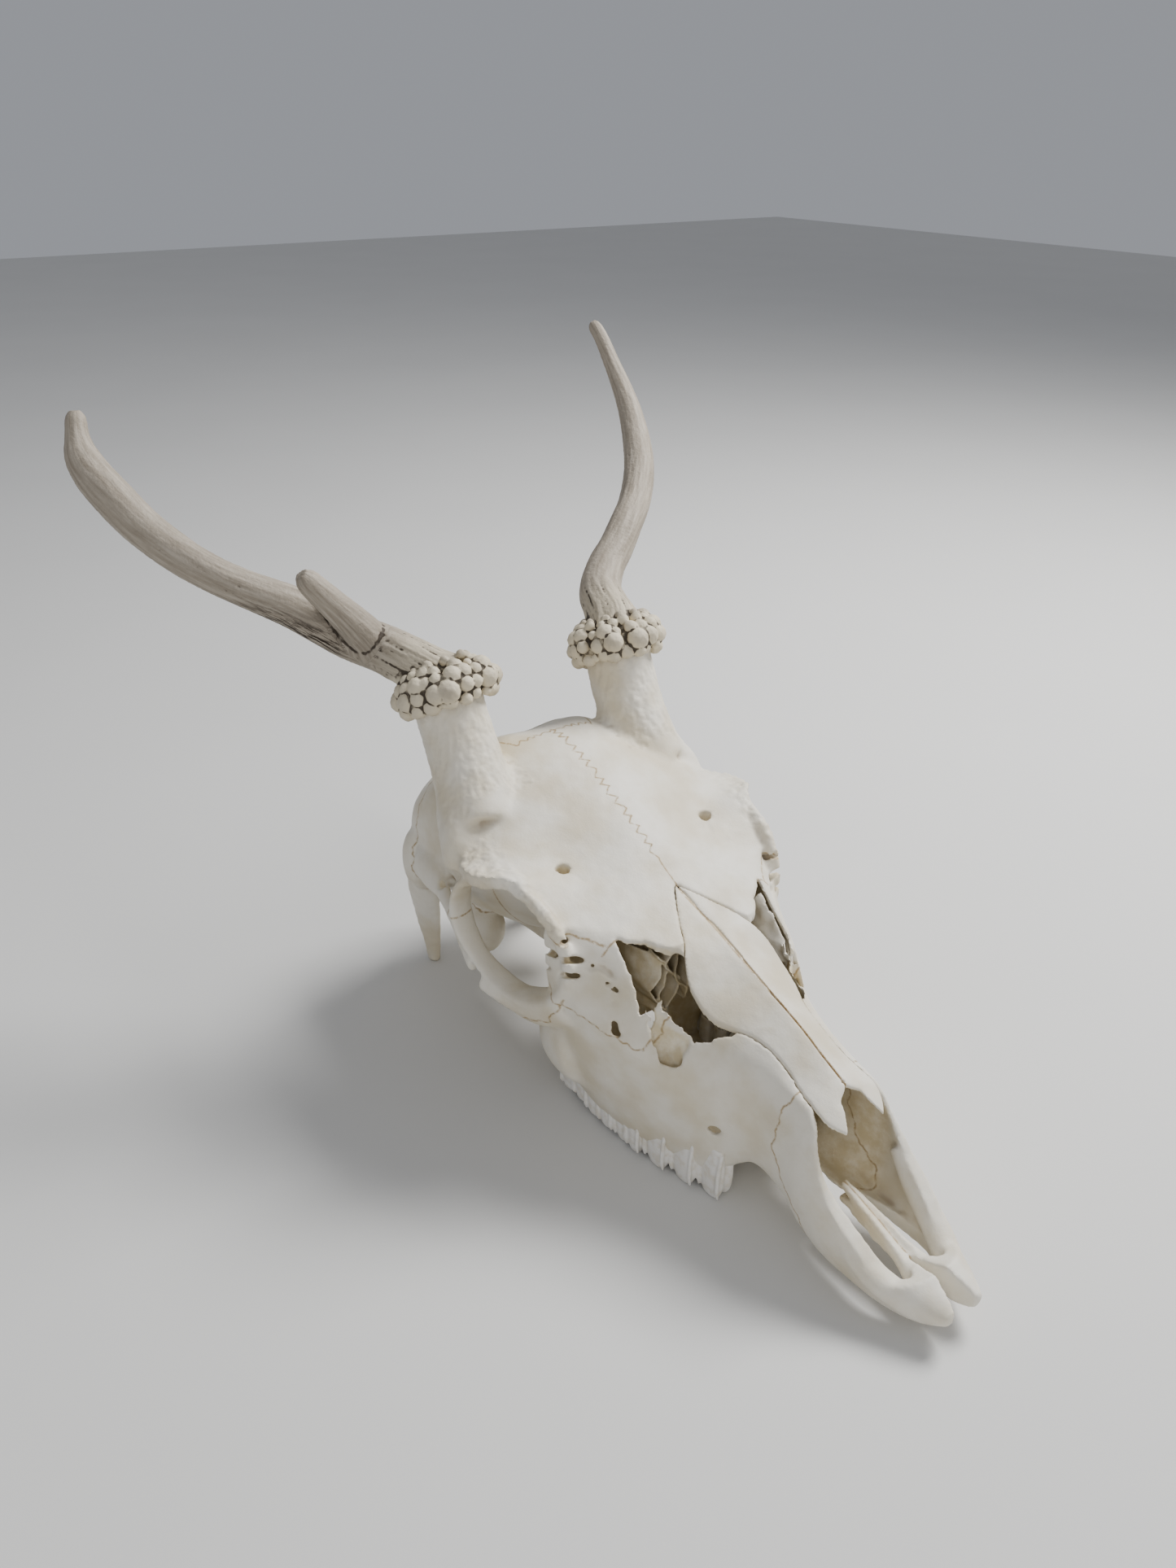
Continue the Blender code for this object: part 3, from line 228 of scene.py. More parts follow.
def eased(rows, x):
    """The values at x on a smooth curve through rows of (x, value, value, ...)."""
    rows = [[row[0]] + [v for part in row[1:] for v in (part if isinstance(part, tuple) else (part,))]
            for row in rows]
    x = min(max(x, rows[0][0]), rows[-1][0])
    k = max(i for i in range(len(rows) - 1) if rows[i][0] <= x)
    a, b = rows[k], rows[k + 1]
    before, after = rows[max(k - 1, 0)], rows[min(k + 2, len(rows) - 1)]
    span = b[0] - a[0]
    t = (x - a[0]) / span
    values = []
    for i in range(1, len(a)):
        slope_a = (b[i] - before[i]) / (b[0] - before[0])
        slope_b = (after[i] - a[i]) / (after[0] - a[0])
        values.append((2*t**3 - 3*t**2 + 1) * a[i] + (t**3 - 2*t**2 + t) * span * slope_a
                      + (3*t**2 - 2*t**3) * b[i] + (t**3 - t**2) * span * slope_b)
    return values


def spline(points, per_span):
    """Points on a smooth curve through points, per_span steps to each span."""
    points = [Vector(p) for p in points]
    ends = [2*points[0] - points[1]] + points + [2*points[-1] - points[-2]]
    curve = []
    for k in range(1, len(ends) - 2):
        a, b, c, d = ends[k - 1:k + 3]
        for j in range(per_span):
            t = j / per_span
            curve.append(0.5 * (2*b + (c - a)*t + (2*a - 5*b + 4*c - d)*t**2 + (3*b - a - 3*c + d)*t**3))
    return curve + [points[-1]]


def even_path(points, step):
    """Points at an even step along a smooth curve through points."""
    curve = spline(points, 12)
    lengths = [0.0]
    for a, b in zip(curve[:-1], curve[1:]):
        lengths.append(lengths[-1] + (b - a).length)
    count = max(int(lengths[-1] / step), 1)
    path, k = [], 0
    for n in range(count + 1):
        goal = lengths[-1] * n / count
        while k < len(curve) - 2 and lengths[k + 1] < goal:
            k += 1
        share = (goal - lengths[k]) / max(lengths[k + 1] - lengths[k], 1e-9)
        path.append(curve[k].lerp(curve[k + 1], min(max(share, 0.0), 1.0)))
    return path


def new_object(name, bm, turn_outward=True):
    """An object from a bmesh, its faces turned outward unless they already are."""
    if turn_outward:
        bmesh.ops.recalc_face_normals(bm, faces=bm.faces[:])
    mesh = bpy.data.meshes.new(name)
    bm.to_mesh(mesh)
    bm.free()
    obj = bpy.data.objects.new(name, mesh)
    bpy.context.scene.collection.objects.link(obj)
    return obj


def loft(bm, rings, closed=False):
    """A tube through rings of equal length: a grid wrapped round and welded, its ends filled."""
    if closed:
        rings = rings + rings[:1]
    around = len(rings[0])
    made = bmesh.ops.create_grid(bm, x_segments=around, y_segments=len(rings) - 1, size=1.0)["verts"]
    for k, vert in enumerate(made):
        ring, step = divmod(k, around + 1)
        vert.co = rings[ring][step % around]
    bmesh.ops.remove_doubles(bm, verts=made, dist=1e-7)
    if not closed:
        loose = [e for e in bm.edges if e.is_boundary]
        bmesh.ops.holes_fill(bm, edges=loose, sides=0)


def oval(half_width, top, bottom, power, sides=96):
    """A superellipse in the YZ plane, as (y, z) pairs."""
    ring = []
    for k in range(sides):
        turn = 2 * math.pi * k / sides
        c, s = math.cos(turn), math.sin(turn)
        ring.append((half_width * math.copysign(abs(c) ** (2 / power), c),
                     (top + bottom) / 2 + (top - bottom) / 2 * math.copysign(abs(s) ** (2 / power), s)))
    return ring


def sweep(bm, stations, sides=32, flat_side=None, closed=False):
    """Tube along stations of (centre, radius) or (centre, radius across, radius along flat_side)."""
    centres = [Vector(s[0]) for s in stations]
    rings = []
    side = None
    count = len(centres)
    for k, centre in enumerate(centres):
        if closed:
            along = centres[(k + 1) % count] - centres[k - 1]
        else:
            along = centres[min(k + 1, count - 1)] - centres[max(k - 1, 0)]
        along.normalize()
        if flat_side is not None:
            side = Vector(flat_side)
        elif side is None:
            side = Vector((0.3, 1.0, 0.2))
        side = (side - along * side.dot(along)).normalized()
        up = along.cross(side)
        across = stations[k][1]
        deep = stations[k][2] if len(stations[k]) > 2 else across
        rings.append([at(*(centre + up * across * math.cos(a) + side * deep * math.sin(a)))
                      for a in (2 * math.pi * j / sides for j in range(sides))])
    loft(bm, rings, closed)


def smooth_stations(stations, per_span=6):
    """Stations with extra ones between them, read from a smooth curve."""
    widest = max(len(s) for s in stations)
    centres = spline([s[0] for s in stations], per_span)
    radii = [spline([(s[min(i, len(s) - 1)], 0, 0) for s in stations], per_span) for i in range(1, widest)]
    return [(c,) + tuple(r[k].x for r in radii) for k, c in enumerate(centres)]


def on_side(stations, side, per_span=6):
    """Smoothed stations of the left side, mirrored for the right when side is -1."""
    return smooth_stations([((c[0], side * c[1], c[2]),) + tuple(radii) for c, *radii in stations], per_span)


def blob(bm, centre, radii, turn=0.0, segments=40):
    """An egg shape, turned about the vertical."""
    size = Matrix.Diagonal((radii[0] * MM, radii[1] * MM, radii[2] * MM, 1))
    place = Matrix.Translation(at(*centre)) @ Matrix.Rotation(turn, 4, "Z") @ size
    bmesh.ops.create_uvsphere(bm, u_segments=segments, v_segments=segments // 2, radius=1.0, matrix=place)


def turned(outline, side):
    """An outline of the left side, or its mirror for the right, running round the same way."""
    return outline if side > 0 else mirror(outline, -1)[::-1]


def both_sides(edge):
    """A closed outline from an edge of the left side and its mirror."""
    return edge + turned(edge, -1)


def prism(name, outline, low, high, view="top"):
    """A solid from an outline of (x, y) seen from the top or (x, z) from the side."""
    bm = bmesh.new()
    if view == "top":
        rings = [[at(a, b, level) for a, b in outline] for level in (low, high)]
    else:
        rings = [[at(a, level, b) for a, b in outline] for level in (low, high)]
    loft(bm, rings)
    return new_object(name, bm)


def evaluated(obj):
    """Replace obj's mesh by its evaluated one and drop the modifiers."""
    depsgraph = bpy.context.evaluated_depsgraph_get()
    mesh = bpy.data.meshes.new_from_object(obj.evaluated_get(depsgraph))
    old = obj.data
    obj.modifiers.clear()
    obj.data = mesh
    bpy.data.meshes.remove(old)
    return obj


def fuse(obj, grain, smoothing):
    """One closed skin over all the forms in obj."""
    remesh = obj.modifiers.new("fuse", "REMESH")
    remesh.mode = "VOXEL"
    remesh.voxel_size = grain * MM
    if smoothing:
        smooth = obj.modifiers.new("smooth", "SMOOTH")
        smooth.factor = 0.5
        smooth.iterations = smoothing
    return evaluated(obj)


def remove(obj):
    """Take away an object and its mesh."""
    mesh = obj.data
    bpy.data.objects.remove(obj, do_unlink=True)
    bpy.data.meshes.remove(mesh)


def cut(obj, cutters):
    """Cut obj by every cutter and take the cutters away."""
    for cutter in cutters:
        boolean = obj.modifiers.new(cutter.name, "BOOLEAN")
        boolean.operation = "DIFFERENCE"
        boolean.solver = "MANIFOLD"
        boolean.object = cutter
        before = len(obj.data.polygons)
        evaluated(obj)
        if len(obj.data.polygons) < before / 4:
            raise RuntimeError(f"{cutter.name} took the bone away")
        remove(cutter)
    return obj


def take_in(bm, own):
    """Put the faces of own into bm and drop own."""
    mesh = bpy.data.meshes.new("taken_in")
    own.to_mesh(mesh)
    own.free()
    bm.from_mesh(mesh)
    bpy.data.meshes.remove(mesh)


def join(obj, others):
    """Put the meshes of others into obj."""
    bm = bmesh.new()
    bm.from_mesh(obj.data)
    for other in others:
        bm.from_mesh(other.data)
        remove(other)
    bm.to_mesh(obj.data)
    bm.free()
    return obj


def tree_of(objects):
    """One search tree over all the given objects."""
    bm = bmesh.new()
    for obj in objects:
        bm.from_mesh(obj.data)
    tree = BVHTree.FromBMesh(bm)
    bm.free()
    return tree


def coords(mesh):
    """The vertices of a mesh as rows of an array."""
    co = np.empty(len(mesh.vertices) * 3, np.float32)
    mesh.vertices.foreach_get("co", co)
    return co.reshape(-1, 3)


def places(mesh):
    """The vertices of a mesh in millimetres of the skull's frame."""
    return coords(mesh) / MM + np.array(FOOTPRINT_MIDDLE, np.float32)


def vertex_normals(mesh):
    """The normals of a mesh's vertices as rows of an array."""
    normals = np.empty(len(mesh.vertices) * 3, np.float32)
    mesh.vertex_normals.foreach_get("vector", normals)
    return normals.reshape(-1, 3)


def push_out(mesh, push):
    """Move each vertex along its normal by its own number of millimetres."""
    moved = coords(mesh) + vertex_normals(mesh) * push[:, None] * MM
    mesh.vertices.foreach_set("co", moved.ravel())
    mesh.update()


def set_attribute(mesh, name, values):
    """Store one value for each vertex under a name."""
    layer = mesh.attributes.get(name) or mesh.attributes.new(name, "FLOAT", "POINT")
    layer.data.foreach_set("value", np.asarray(values, np.float32))


def hollowness(mesh, rounds):
    """For each vertex how far it lies below its neighbours' mean, in mm; positive in crevices."""
    co = coords(mesh)
    edges = np.empty(len(mesh.edges) * 2, np.int32)
    mesh.edges.foreach_get("vertices", edges)
    edges = edges.reshape(-1, 2)
    count = np.bincount(edges.ravel(), minlength=len(co)).astype(np.float32)
    count[count == 0] = 1

    def mean(values):
        total = np.zeros_like(values)
        np.add.at(total, edges[:, 0], values[edges[:, 1]])
        np.add.at(total, edges[:, 1], values[edges[:, 0]])
        return total / (count[:, None] if values.ndim > 1 else count)

    smoothed = co
    for _ in range(rounds):
        smoothed = mean(smoothed)
    depth = ((smoothed - co) * vertex_normals(mesh)).sum(1) / MM
    for _ in range(2):
        depth = mean(depth)
    return depth


# ---------------------------------------------------------------- the skull's forms
def face_ring(x, inset=0.0, per_span=9):
    """Section of the face at x as 3-D points, moved in by inset."""
    z0, *rest, z7 = eased(FACE, x)
    half = [(0.0, z0)] + [(rest[i], rest[i + 1]) for i in range(0, len(rest), 2)] + [(0.0, z7)]
    curve = spline([(y, z, 0) for y, z in half], per_span)
    outline = [(max(p.x, 0.0), p.y) for p in curve]
    if inset:
        outline = inset_outline(outline, inset)
    return [at(x, y, z) for y, z in outline] + [at(x, -y, z) for y, z in outline[-2:0:-1]]


def inset_outline(outline, inset):
    """Half outline moved towards its inside, kept on the middle plane at both ends."""
    moved = []
    last = len(outline) - 1
    for k, (y, z) in enumerate(outline):
        a, b = outline[max(k - 1, 0)], outline[min(k + 1, last)]
        along = Vector((b[0] - a[0], b[1] - a[1])).normalized()
        if k == 0:
            along = Vector((1, 0))
        if k == last:
            along = Vector((-1, 0))
        moved.append((max(y + along.y * inset, 0.0), z - along.x * inset))
    return moved


def steps_along(stations, count):
    """Even steps of x from the first station to the last."""
    first, last = stations[0][0], stations[-1][0]
    return [first + (last - first) * k / count for k in range(count + 1)]


def forehead(bm):
    """The slab of the frontals, dipped between the middle and its rims."""
    rings = []
    for x in steps_along(FOREHEAD, 80):
        width, middle, dip, rim, thick = eased(FOREHEAD, x)
        top = spline([(-width, rim, 0), (-0.55 * width, dip, 0), (0, middle, 0), (0.55 * width, dip, 0),
                      (width, rim, 0)], 12)
        rings.append([at(x, p.x, p.y) for p in top] + [at(x, p.x * 0.97, p.y - thick) for p in top[::-1]])
    loft(bm, rings)


def orbit_ring(bm, side):
    """The raised rim round the eye socket, closed at the back by the postorbital bar."""
    stations = []
    count = 96
    for k in range(count):
        turn = 2 * math.pi * k / count
        forward, up = math.cos(turn), math.sin(turn)
        x = ORBIT_CENTRE[0] + ORBIT_LONG * forward
        y = ORBIT_CENTRE[1] - 3.5 * forward + 2.0 * up
        z = ORBIT_CENTRE[2] + ORBIT_HIGH * up + 1.5 * forward
        thick = 1.9 + 0.8 * max(forward, 0.0) + 1.2 * max(-up, 0.0) * max(forward, 0.0) + 0.5 * max(up, 0.0)
        backward = max(-forward, -up, 0.0)
        depth = ORBIT_FRONT_DEPTH + (ORBIT_BACK_DEPTH - ORBIT_FRONT_DEPTH) * backward
        stations.append(((x, side * y, z), thick, depth))
    sweep(bm, stations, 24, flat_side=(0.2, side, 0.0), closed=True)


def soften(obj, spots, iterations):
    """Smooth obj strongly within the given spots of (centre, radius), fading out towards their rims."""
    group = obj.vertex_groups.new(name="blend")
    middle = [(at(*centre), radius * MM) for centre, radius in spots]
    levels = {}
    for k, vert in enumerate(obj.data.vertices):
        share = max(1 - (vert.co - centre).length / radius for centre, radius in middle)
        if share > 0:
            levels.setdefault(round(smoothstep(share * 2) * 10), []).append(k)
    for level, members in levels.items():
        group.add(members, level / 10, "REPLACE")
    smooth = obj.modifiers.new("blend", "SMOOTH")
    smooth.vertex_group = group.name
    smooth.factor = 0.5
    smooth.iterations = iterations
    evaluated(obj)
    obj.vertex_groups.clear()


def skull_forms():
    """All the forms of the skull together in one mesh, still overlapping."""
    bm = bmesh.new()
    for side in (1, -1):
        for (x, y, z), radii, turn in (MASTOID, CONDYLE, BULLA):
            blob(bm, (x, side * y, z), radii, side * turn)
    loft(bm, [[at(x, y, z) for y, z in oval(*eased(BRAINCASE, x))] for x in steps_along(BRAINCASE, 80)])
    loft(bm, [face_ring(x) for x in steps_along(FACE, 120)])
    forehead(bm)
    flat = (0, 1, 0)
    sweep(bm, smooth_stations(BASE), flat_side=flat)
    for side in (1, -1):
        for stations in (PEDICLE, PEDICLE_ROOT):
            sweep(bm, on_side(stations, side), sides=48)
        for stations in (SOCKET_FLOOR, CHEEK_TUBER, CHEEK_ARCH, PALATINE):
            sweep(bm, on_side(stations, side), flat_side=flat)
        sweep(bm, on_side(PARACONDYLAR, side), flat_side=(0.3, side, 0))
        orbit_ring(bm, side)
    return new_object("skull", bm)


def burr_frame(side):
    """Centre and axis of the burr on the given side."""
    x, y, z = BURR_CENTRE
    return Vector((x, side * y, z)), Vector((BURR_AXIS.x, side * BURR_AXIS.y, BURR_AXIS.z))


def on_burr(side, lift):
    """Place and turn for a shape on the burr's axis, lifted along it."""
    centre, axis = burr_frame(side)
    return Matrix.Translation(at(*(centre + axis * lift))) @ axis.to_track_quat("Z", "Y").to_matrix().to_4x4()


def pedicle_top(name, side):
    """A block from the burr's lower face upward, which cuts the pedicle level."""
    size = 60 * MM
    bm = bmesh.new()
    bmesh.ops.create_cube(bm, size=size)
    bmesh.ops.translate(bm, vec=(0, 0, size / 2), verts=bm.verts[:])
    bmesh.ops.transform(bm, matrix=on_burr(side, -BURR_HEIGHT / 2), verts=bm.verts[:])
    return new_object(name, bm)


def nose_cavity():
    """The hollow of the nose, within an even wall."""
    bm = bmesh.new()
    loft(bm, [face_ring(x, 1.9 + 3.4 * smoothstep((x - 214) / 22), 5) for x in
              (CAVITY_BACK_X + k * (250 - CAVITY_BACK_X) / 60 for k in range(61))])
    return fuse(new_object("nose_cavity", bm), 0.9, 2)


def ragged(outline, size, grain=0.7, seed=0.0):
    """An outline resampled finely and pushed in and out like a broken edge."""
    closed = [Vector((a, b, 0)) for a, b in outline] + [Vector((*outline[0], 0))]
    fine = []
    for a, b in zip(closed[:-1], closed[1:]):
        count = max(int((b - a).length / grain), 1)
        across = Vector((-(b - a).y, (b - a).x, 0)).normalized()
        for k in range(count):
            p = a.lerp(b, k / count)
            push = noise.noise(p * 0.9 + Vector((seed, 0, 0)))
            push += 0.6 * noise.noise(p * 2.3 + Vector((0, seed, 5)))
            p = p + across * size * push
            fine.append((p.x, p.y))
    return fine


def openings():
    """Everything that hollows or opens the skull."""
    edge = [(x, eased(NASAL, x)[1] + 0.15) for x in steps_along(NASAL, 60) if x < NASAL_SEAT_END]
    edge = [(NASAL[0][0] - 0.3, edge[0][1])] + edge + [(NASAL_SEAT_END, edge[-1][1])]
    cutters = [nose_cavity(),
               prism("nostrils", NOSTRIL_MARGIN + [(276, 90), (205.5, 90)], -40, 40, "side"),
               prism("nasal_seat", both_sides(edge), 46, 110),
               prism("floor", GROUND_OUTLINE, *GROUND_LEVELS),
               prism("snout_notch", both_sides(SNOUT_NOTCH), -10, 60),
               prism("snout_trough", SNOUT_TROUGH, -12.6, 12.6, "side"),
               prism("palate_slit", ragged(PALATE_SLIT, 0.35), 4, 32),
               prism("choana", CHOANA, 20.5, 32)]
    for side, tag in ((1, "left"), (-1, "right")):
        window = ragged(VACUITY, 0.5, seed=3.0 * side)
        cutters += [prism("vacuity_" + tag, turned(window, side), 51, 100),
                    prism("fissure_" + tag, turned(FISSURE, side), -5, 30),
                    pedicle_top("pedicle_top_" + tag, side)]
    bm = bmesh.new()
    bmesh.ops.create_cone(bm, cap_ends=True, segments=40, radius1=11 * MM, radius2=9 * MM, depth=40 * MM,
                          matrix=Matrix.Translation(at(0, 0, 62)) @ Matrix.Rotation(math.pi / 2, 4, "Y"))
    cutters.append(new_object("foramen_magnum", bm))
    return cutters


# ---------------------------------------------------------------- broken and pierced places
# pits and slots of each side, y outward: path over the surface, radius of the channel, how deep it runs
PITS = [
    # round foramen
    ([(130.6, 51.8, 88.6), (127.8, 49.3, 87.1), (124.0, 46.0, 85.0), (118, 41, 82)], 1.3, 0),
    # upper and lower slot, each with the notch that it makes in the rim of the eye socket
    ([(126.0, 50.3, 80.9), (128.2, 49.6, 80.9), (130.4, 46.6, 80.7), (131.6, 43.0, 79.8)], 1.3, 3.2),
    ([(116.0, 52.4, 80.3), (120.0, 51.4, 80.3), (126.4, 50.2, 80.9)], 1.2, 8),
    ([(126.4, 50.2, 73.9), (129.0, 49.5, 75.0), (131.0, 47.6, 75.1), (132.4, 44.8, 74.7)], 1.1, 3.0),
    ([(116.0, 51.8, 73.4), (120.0, 51.4, 73.5), (123.0, 50.7, 73.7)], 0.9, 8),
    # crescent hollow and the small breaks below it
    ([(132.8, 44.6, 76.4), (133.5, 43.4, 77.4), (135.0, 41.2, 78.7), (137.1, 39.5, 78.4), (139.4, 38.5, 77.2),
      (141.8, 37.9, 75.2)], 1.8, 0.2),
    ([(138.4, 40.2, 74.4), (140.3, 39.2, 73.4), (142.7, 38.2, 72.2), (144.7, 37.5, 71.4)], 0.75, 2.2),
    ([(142.6, 40.3, 69.0), (144.9, 39.5, 67.7)], 0.7, 2.2),
    # triangular hole
    ([(145.6, 41.2, 62.9), (146.5, 41.2, 60.2), (146.2, 41.6, 57.8)], 1.1, 2.4),
    ([(147.6, 40.8, 59.6), (146.2, 41.6, 57.8)], 1.1, 2.4),
    ([(145.4, 42.1, 57.6), (148.3, 40.8, 58.0), (152.2, 38.6, 58.7)], 0.6, 2.0),
    ([(123.8, 51.4, 63.4), (126.8, 50.6, 64.2)], 0.7, 0),
    # slit by the cup
    ([(154.6, 34.4, 65.8), (156.6, 33.4, 62.6), (157.6, 33.4, 60.2)], 0.7, 1.6),
    # temporal and infraorbital foramina, a pit above the eye and a crack in the cheek
    ([(38.3, 50, 63.1), (38.3, 36, 63.1)], 2.3, 0),
    ([(187, 26.0, 28.4), (180.0, 24.4, 30.8), (172, 19.5, 33)], 2.1, 0),
    ([(86.4, 34.9, 107.6), (86.8, 34.9, 104.6)], 0.7, 0),
    ([(112.2, 51.8, 46.6), (118.2, 50.0, 47.4), (126.2, 48.2, 51.4)], 0.4, 0.5)]
# the way in which the longer pits run deeper
SINK = Vector((-0.71, -0.53, -0.47))
# notches along the eye socket's rim and the frontal's edge: point, radius
NOTCHES = [((119.6, 53.4, 92.4), 1.5), ((123.6, 51.4, 90.6), 1.1), ((115.4, 56.2, 95.6), 1.3),
           ((110.6, 57.4, 98.0), 1.2), ((102.6, 61.2, 103.6), 1.0)]
# free rods of the snout, left side: its side rod and the slim one beside the middle
SIDE_ROD = [((222, 17.4, 33), 2.6, 2.6), ((229, 17.0, 26), 3.6, 3.4), ((237, 16.2, 19.6), 4.6, 3.8),
            ((245, 14.6, 14.6), 4.8, 4.0), ((252, 12.0, 11.4), 4.4, 4.4), ((258, 9.8, 9.4), 3.4, 4.0)]
MIDDLE_ROD = [((216, 0.9, 22.8), 0.7, 0.9), ((221, 1.1, 21.2), 1.1, 1.5), ((228, 1.6, 18.8), 1.3, 2.0),
              ((236, 2.0, 16.4), 1.4, 2.2), ((244, 2.8, 13.8), 1.6, 2.4), ((251, 4.4, 11.6), 2.4, 2.8)]
# thin plates standing in the broken windows: crest and foot
CUP_PLATE = ([(152.8, 30.0, 67.6), (154.6, 27.9, 72.0), (155.8, 28.6, 67.4), (157.4, 28.0, 68.4),
              (159.4, 27.2, 65.6), (162.2, 25.6, 64.6), (165.6, 24.8, 61.8), (170.4, 24.0, 59.4)],
             [(155.6, 34.0, 50), (157.2, 32.6, 48.5), (159.2, 30.6, 47), (161.0, 29.2, 46.4),
              (162.6, 28.4, 46), (164.4, 28.0, 46), (167.0, 28.2, 46), (170.6, 29.0, 46)])
LEFT_PLATE = ([(137.4, 31.0, 83), (141, 31.0, 81), (145, 31.0, 77.5), (149.5, 31.2, 72.5), (154, 31.4, 68)],
              [(137.4, 25, 67), (141, 24.5, 65), (145, 24, 62), (149.5, 23.5, 58), (155, 23, 54)])
SPIKE_PLATE = ([(152.2, 34.6, 66.0), (152.9, 33.2, 69.4), (154.2, 32.8, 67.0), (155.6, 32.6, 66.8)],
               [(152.2, 35.6, 56), (153.4, 35.0, 55), (154.8, 34.4, 54), (156.2, 33.8, 53)])
# outline of the hole above each eye, from above, and the groove that runs forward from it
TEARDROP = [(103.8, 36.0), (102.4, 33.6), (102.4, 31.6), (103.9, 29.8), (105.8, 30.5), (106.6, 32.4),
            (106.4, 34.2)]
TEARDROP_GROOVE = [(105.6, 31.8, 99.6), (109.5, 30.4, 98.6), (114.5, 28.8, 96.6)]


def channel(bm, path, radius, side, sides=12):
    """A round channel of wandering width along a path of the given side."""
    points = [Vector((x, side * y, z)) for x, y, z in path]
    if len(points) == 2:
        points.insert(1, (points[0] + points[1]) / 2)
    curve = even_path(points, 0.5)
    count = len(curve) - 1
    stations = [(p, radius * (0.45 + 0.55 * min(1.0, 5 * k / count, 5 * (count - k) / count))
                 * (1 + 0.18 * noise.noise(p * 0.9))) for k, p in enumerate(curve)]
    sweep(bm, stations, sides)


def blemishes():
    """Foramina, slits, pits and broken notches, as one cutter."""
    bm = bmesh.new()
    for side in (-1, 1):
        for centre, radius in NOTCHES:
            x, y, z = centre
            blob(bm, (x, side * y, z), (radius * 1.25, radius, radius), 0.6 * side, 16)
    for side in (-1, 1):
        for path, radius, deep in PITS:
            layers = max(math.ceil(deep / radius), 1) if deep else 0
            for layer in range(layers + 1):
                sink = SINK * (deep * layer / max(layers, 1))
                channel(bm, [Vector(p) + sink for p in path], radius, side)
        channel(bm, TEARDROP_GROOVE, 1.5, side)
        loft(bm, [[at(x, side * y, z) for x, y in TEARDROP] for z in (90, 95, 100, 105, 110)])
    return fuse(new_object("blemishes", bm), 0.4, 0)


def shards():
    """Thin broken plates that stand in the openings, and the free rods of the snout."""
    bm = bmesh.new()
    for side in (-1, 1):
        plate(bm, *CUP_PLATE, side, 0.85, crumple=0.8)
        if side > 0:
            plate(bm, *LEFT_PLATE, side, 0.9, crumple=1.2)
        for rod in (SIDE_ROD, MIDDLE_ROD):
            sweep(bm, on_side(rod, side, 5), 24, flat_side=(0, 0, 1))
        plate(bm, *SPIKE_PLATE, side, 0.9)
    return new_object("shards", bm)


def plate(bm, crest, foot, side, thickness, across=28, down=12, crumple=0.5):
    """A thin bent sheet between two lines of points, y outward."""
    top = spline([(x, side * y, z) for x, y, z in crest], 6)
    low = spline([(x, side * y, z) for x, y, z in foot], 6)

    def place(u, v):
        k = min(int(u * (len(top) - 1)), len(top) - 2)
        share = u * (len(top) - 1) - k
        p = top[k].lerp(top[k + 1], share).lerp(low[k].lerp(low[k + 1], share), v)
        return p.x, p.y + side * crumple * noise.noise(p * 0.3) * 2, p.z
    sheet(bm, place, across, down, thickness)


# ---------------------------------------------------------------- sutures
BONES = {"occipital": (3, 0, 75), "braincase": (30, 0, 80), "cranial_base": (50, 0, 37)}
PAIRED_BONES = {"frontal": (90, 20, 100), "lacrimal": (128, 46, 72), "zygomatic": (98, 53, 49),
                "maxilla": (150, 36, 40), "premaxilla": (235, 17, 20)}
FACE_BACK_X = 113.5
BLOCK_LOW_Z = 44
SAW_TOP = 136
CORONAL_REACH = 48
CORONAL = [(20, SAW_TOP), (26, 113), (42, 92), (60, 72), (66, BLOCK_LOW_Z)]
CORONAL_SHIFT = 29.3
# view, line, from where to where across the view (mirrored), size of its waves
SUTURES = {
    "occipital": ("side", [(14, 112), (13, 60), (17, 44), (17, -6)], 0, 60, 0.8),
    "base": ("side", [(11, BLOCK_LOW_Z), (93, BLOCK_LOW_Z)], 0, 43, 0.3),
    "block": ("side", [(92, BLOCK_LOW_Z), (FACE_BACK_X + 0.1, BLOCK_LOW_Z)], 0, 24, 0),
    "palate_back": ("side", [(FACE_BACK_X, 45), (FACE_BACK_X, -4)], 0, 19.9, 0),
    "nose_back": ("side", [(FACE_BACK_X, 43.9), (FACE_BACK_X, 88)], 0, 30, 0),
    "forehead": ("side", [(104, 87.8), (113.5, 87.8), (122, 87.6), (128, 85.8), (135, 83.8)], 0, 60, 0.25),
    "forehead_corner": ("side", [(134.8, 81.5), (135.2, 90)], 32, 60, 0),
    "lacrimal": ("side", [(110, 64), (124, 61.5), (140, 57.5), (156, 54.5), (158.5, 68)], 0, 64, 0.5),
    "zygomatic": ("side", [(128, 64), (121, 51), (104, 43), (84, 40)], 24, 64, 0.5),
    "postorbital": ("side", [(54, 70), (84, 72)], 46, 68, 0.5),
    "cheek_arch": ("side", [(52, 44), (50, 70)], 44, 66, 0.3),
    "premaxilla": ("side", [(208, 67), (202, 52), (201, 36), (207, 25), (215, 19), (222, -2)], 0, 26, 0.45),
    "last_molar": ("top", [(84, 19.2), (FACE_BACK_X + 0.1, 19.9)], -6, 44.2, 0),
    "back_wall": ("top", [(FACE_BACK_X - 0.3, 24.2), (130, 24.2)], 42, 65, 0)}
# bones whose broken inner faces are nearly as pale as the outside
PALER_INSIDE = {"lacrimal_left": 0.35, "frontal_left": 0.35}
# saws that don't cross each other cut together
SAW_GROUPS = [("coronal", "premaxilla", "lacrimal", "palate_back"),
              ("midline_back", "occipital", "forehead_corner", "zygomatic", "cheek_arch"),
              ("midline_front", "postorbital", "last_molar"),
              ("base", "nose_back"), ("block", "back_wall", "forehead")]
# thickness of the saws
GAP = 0.07


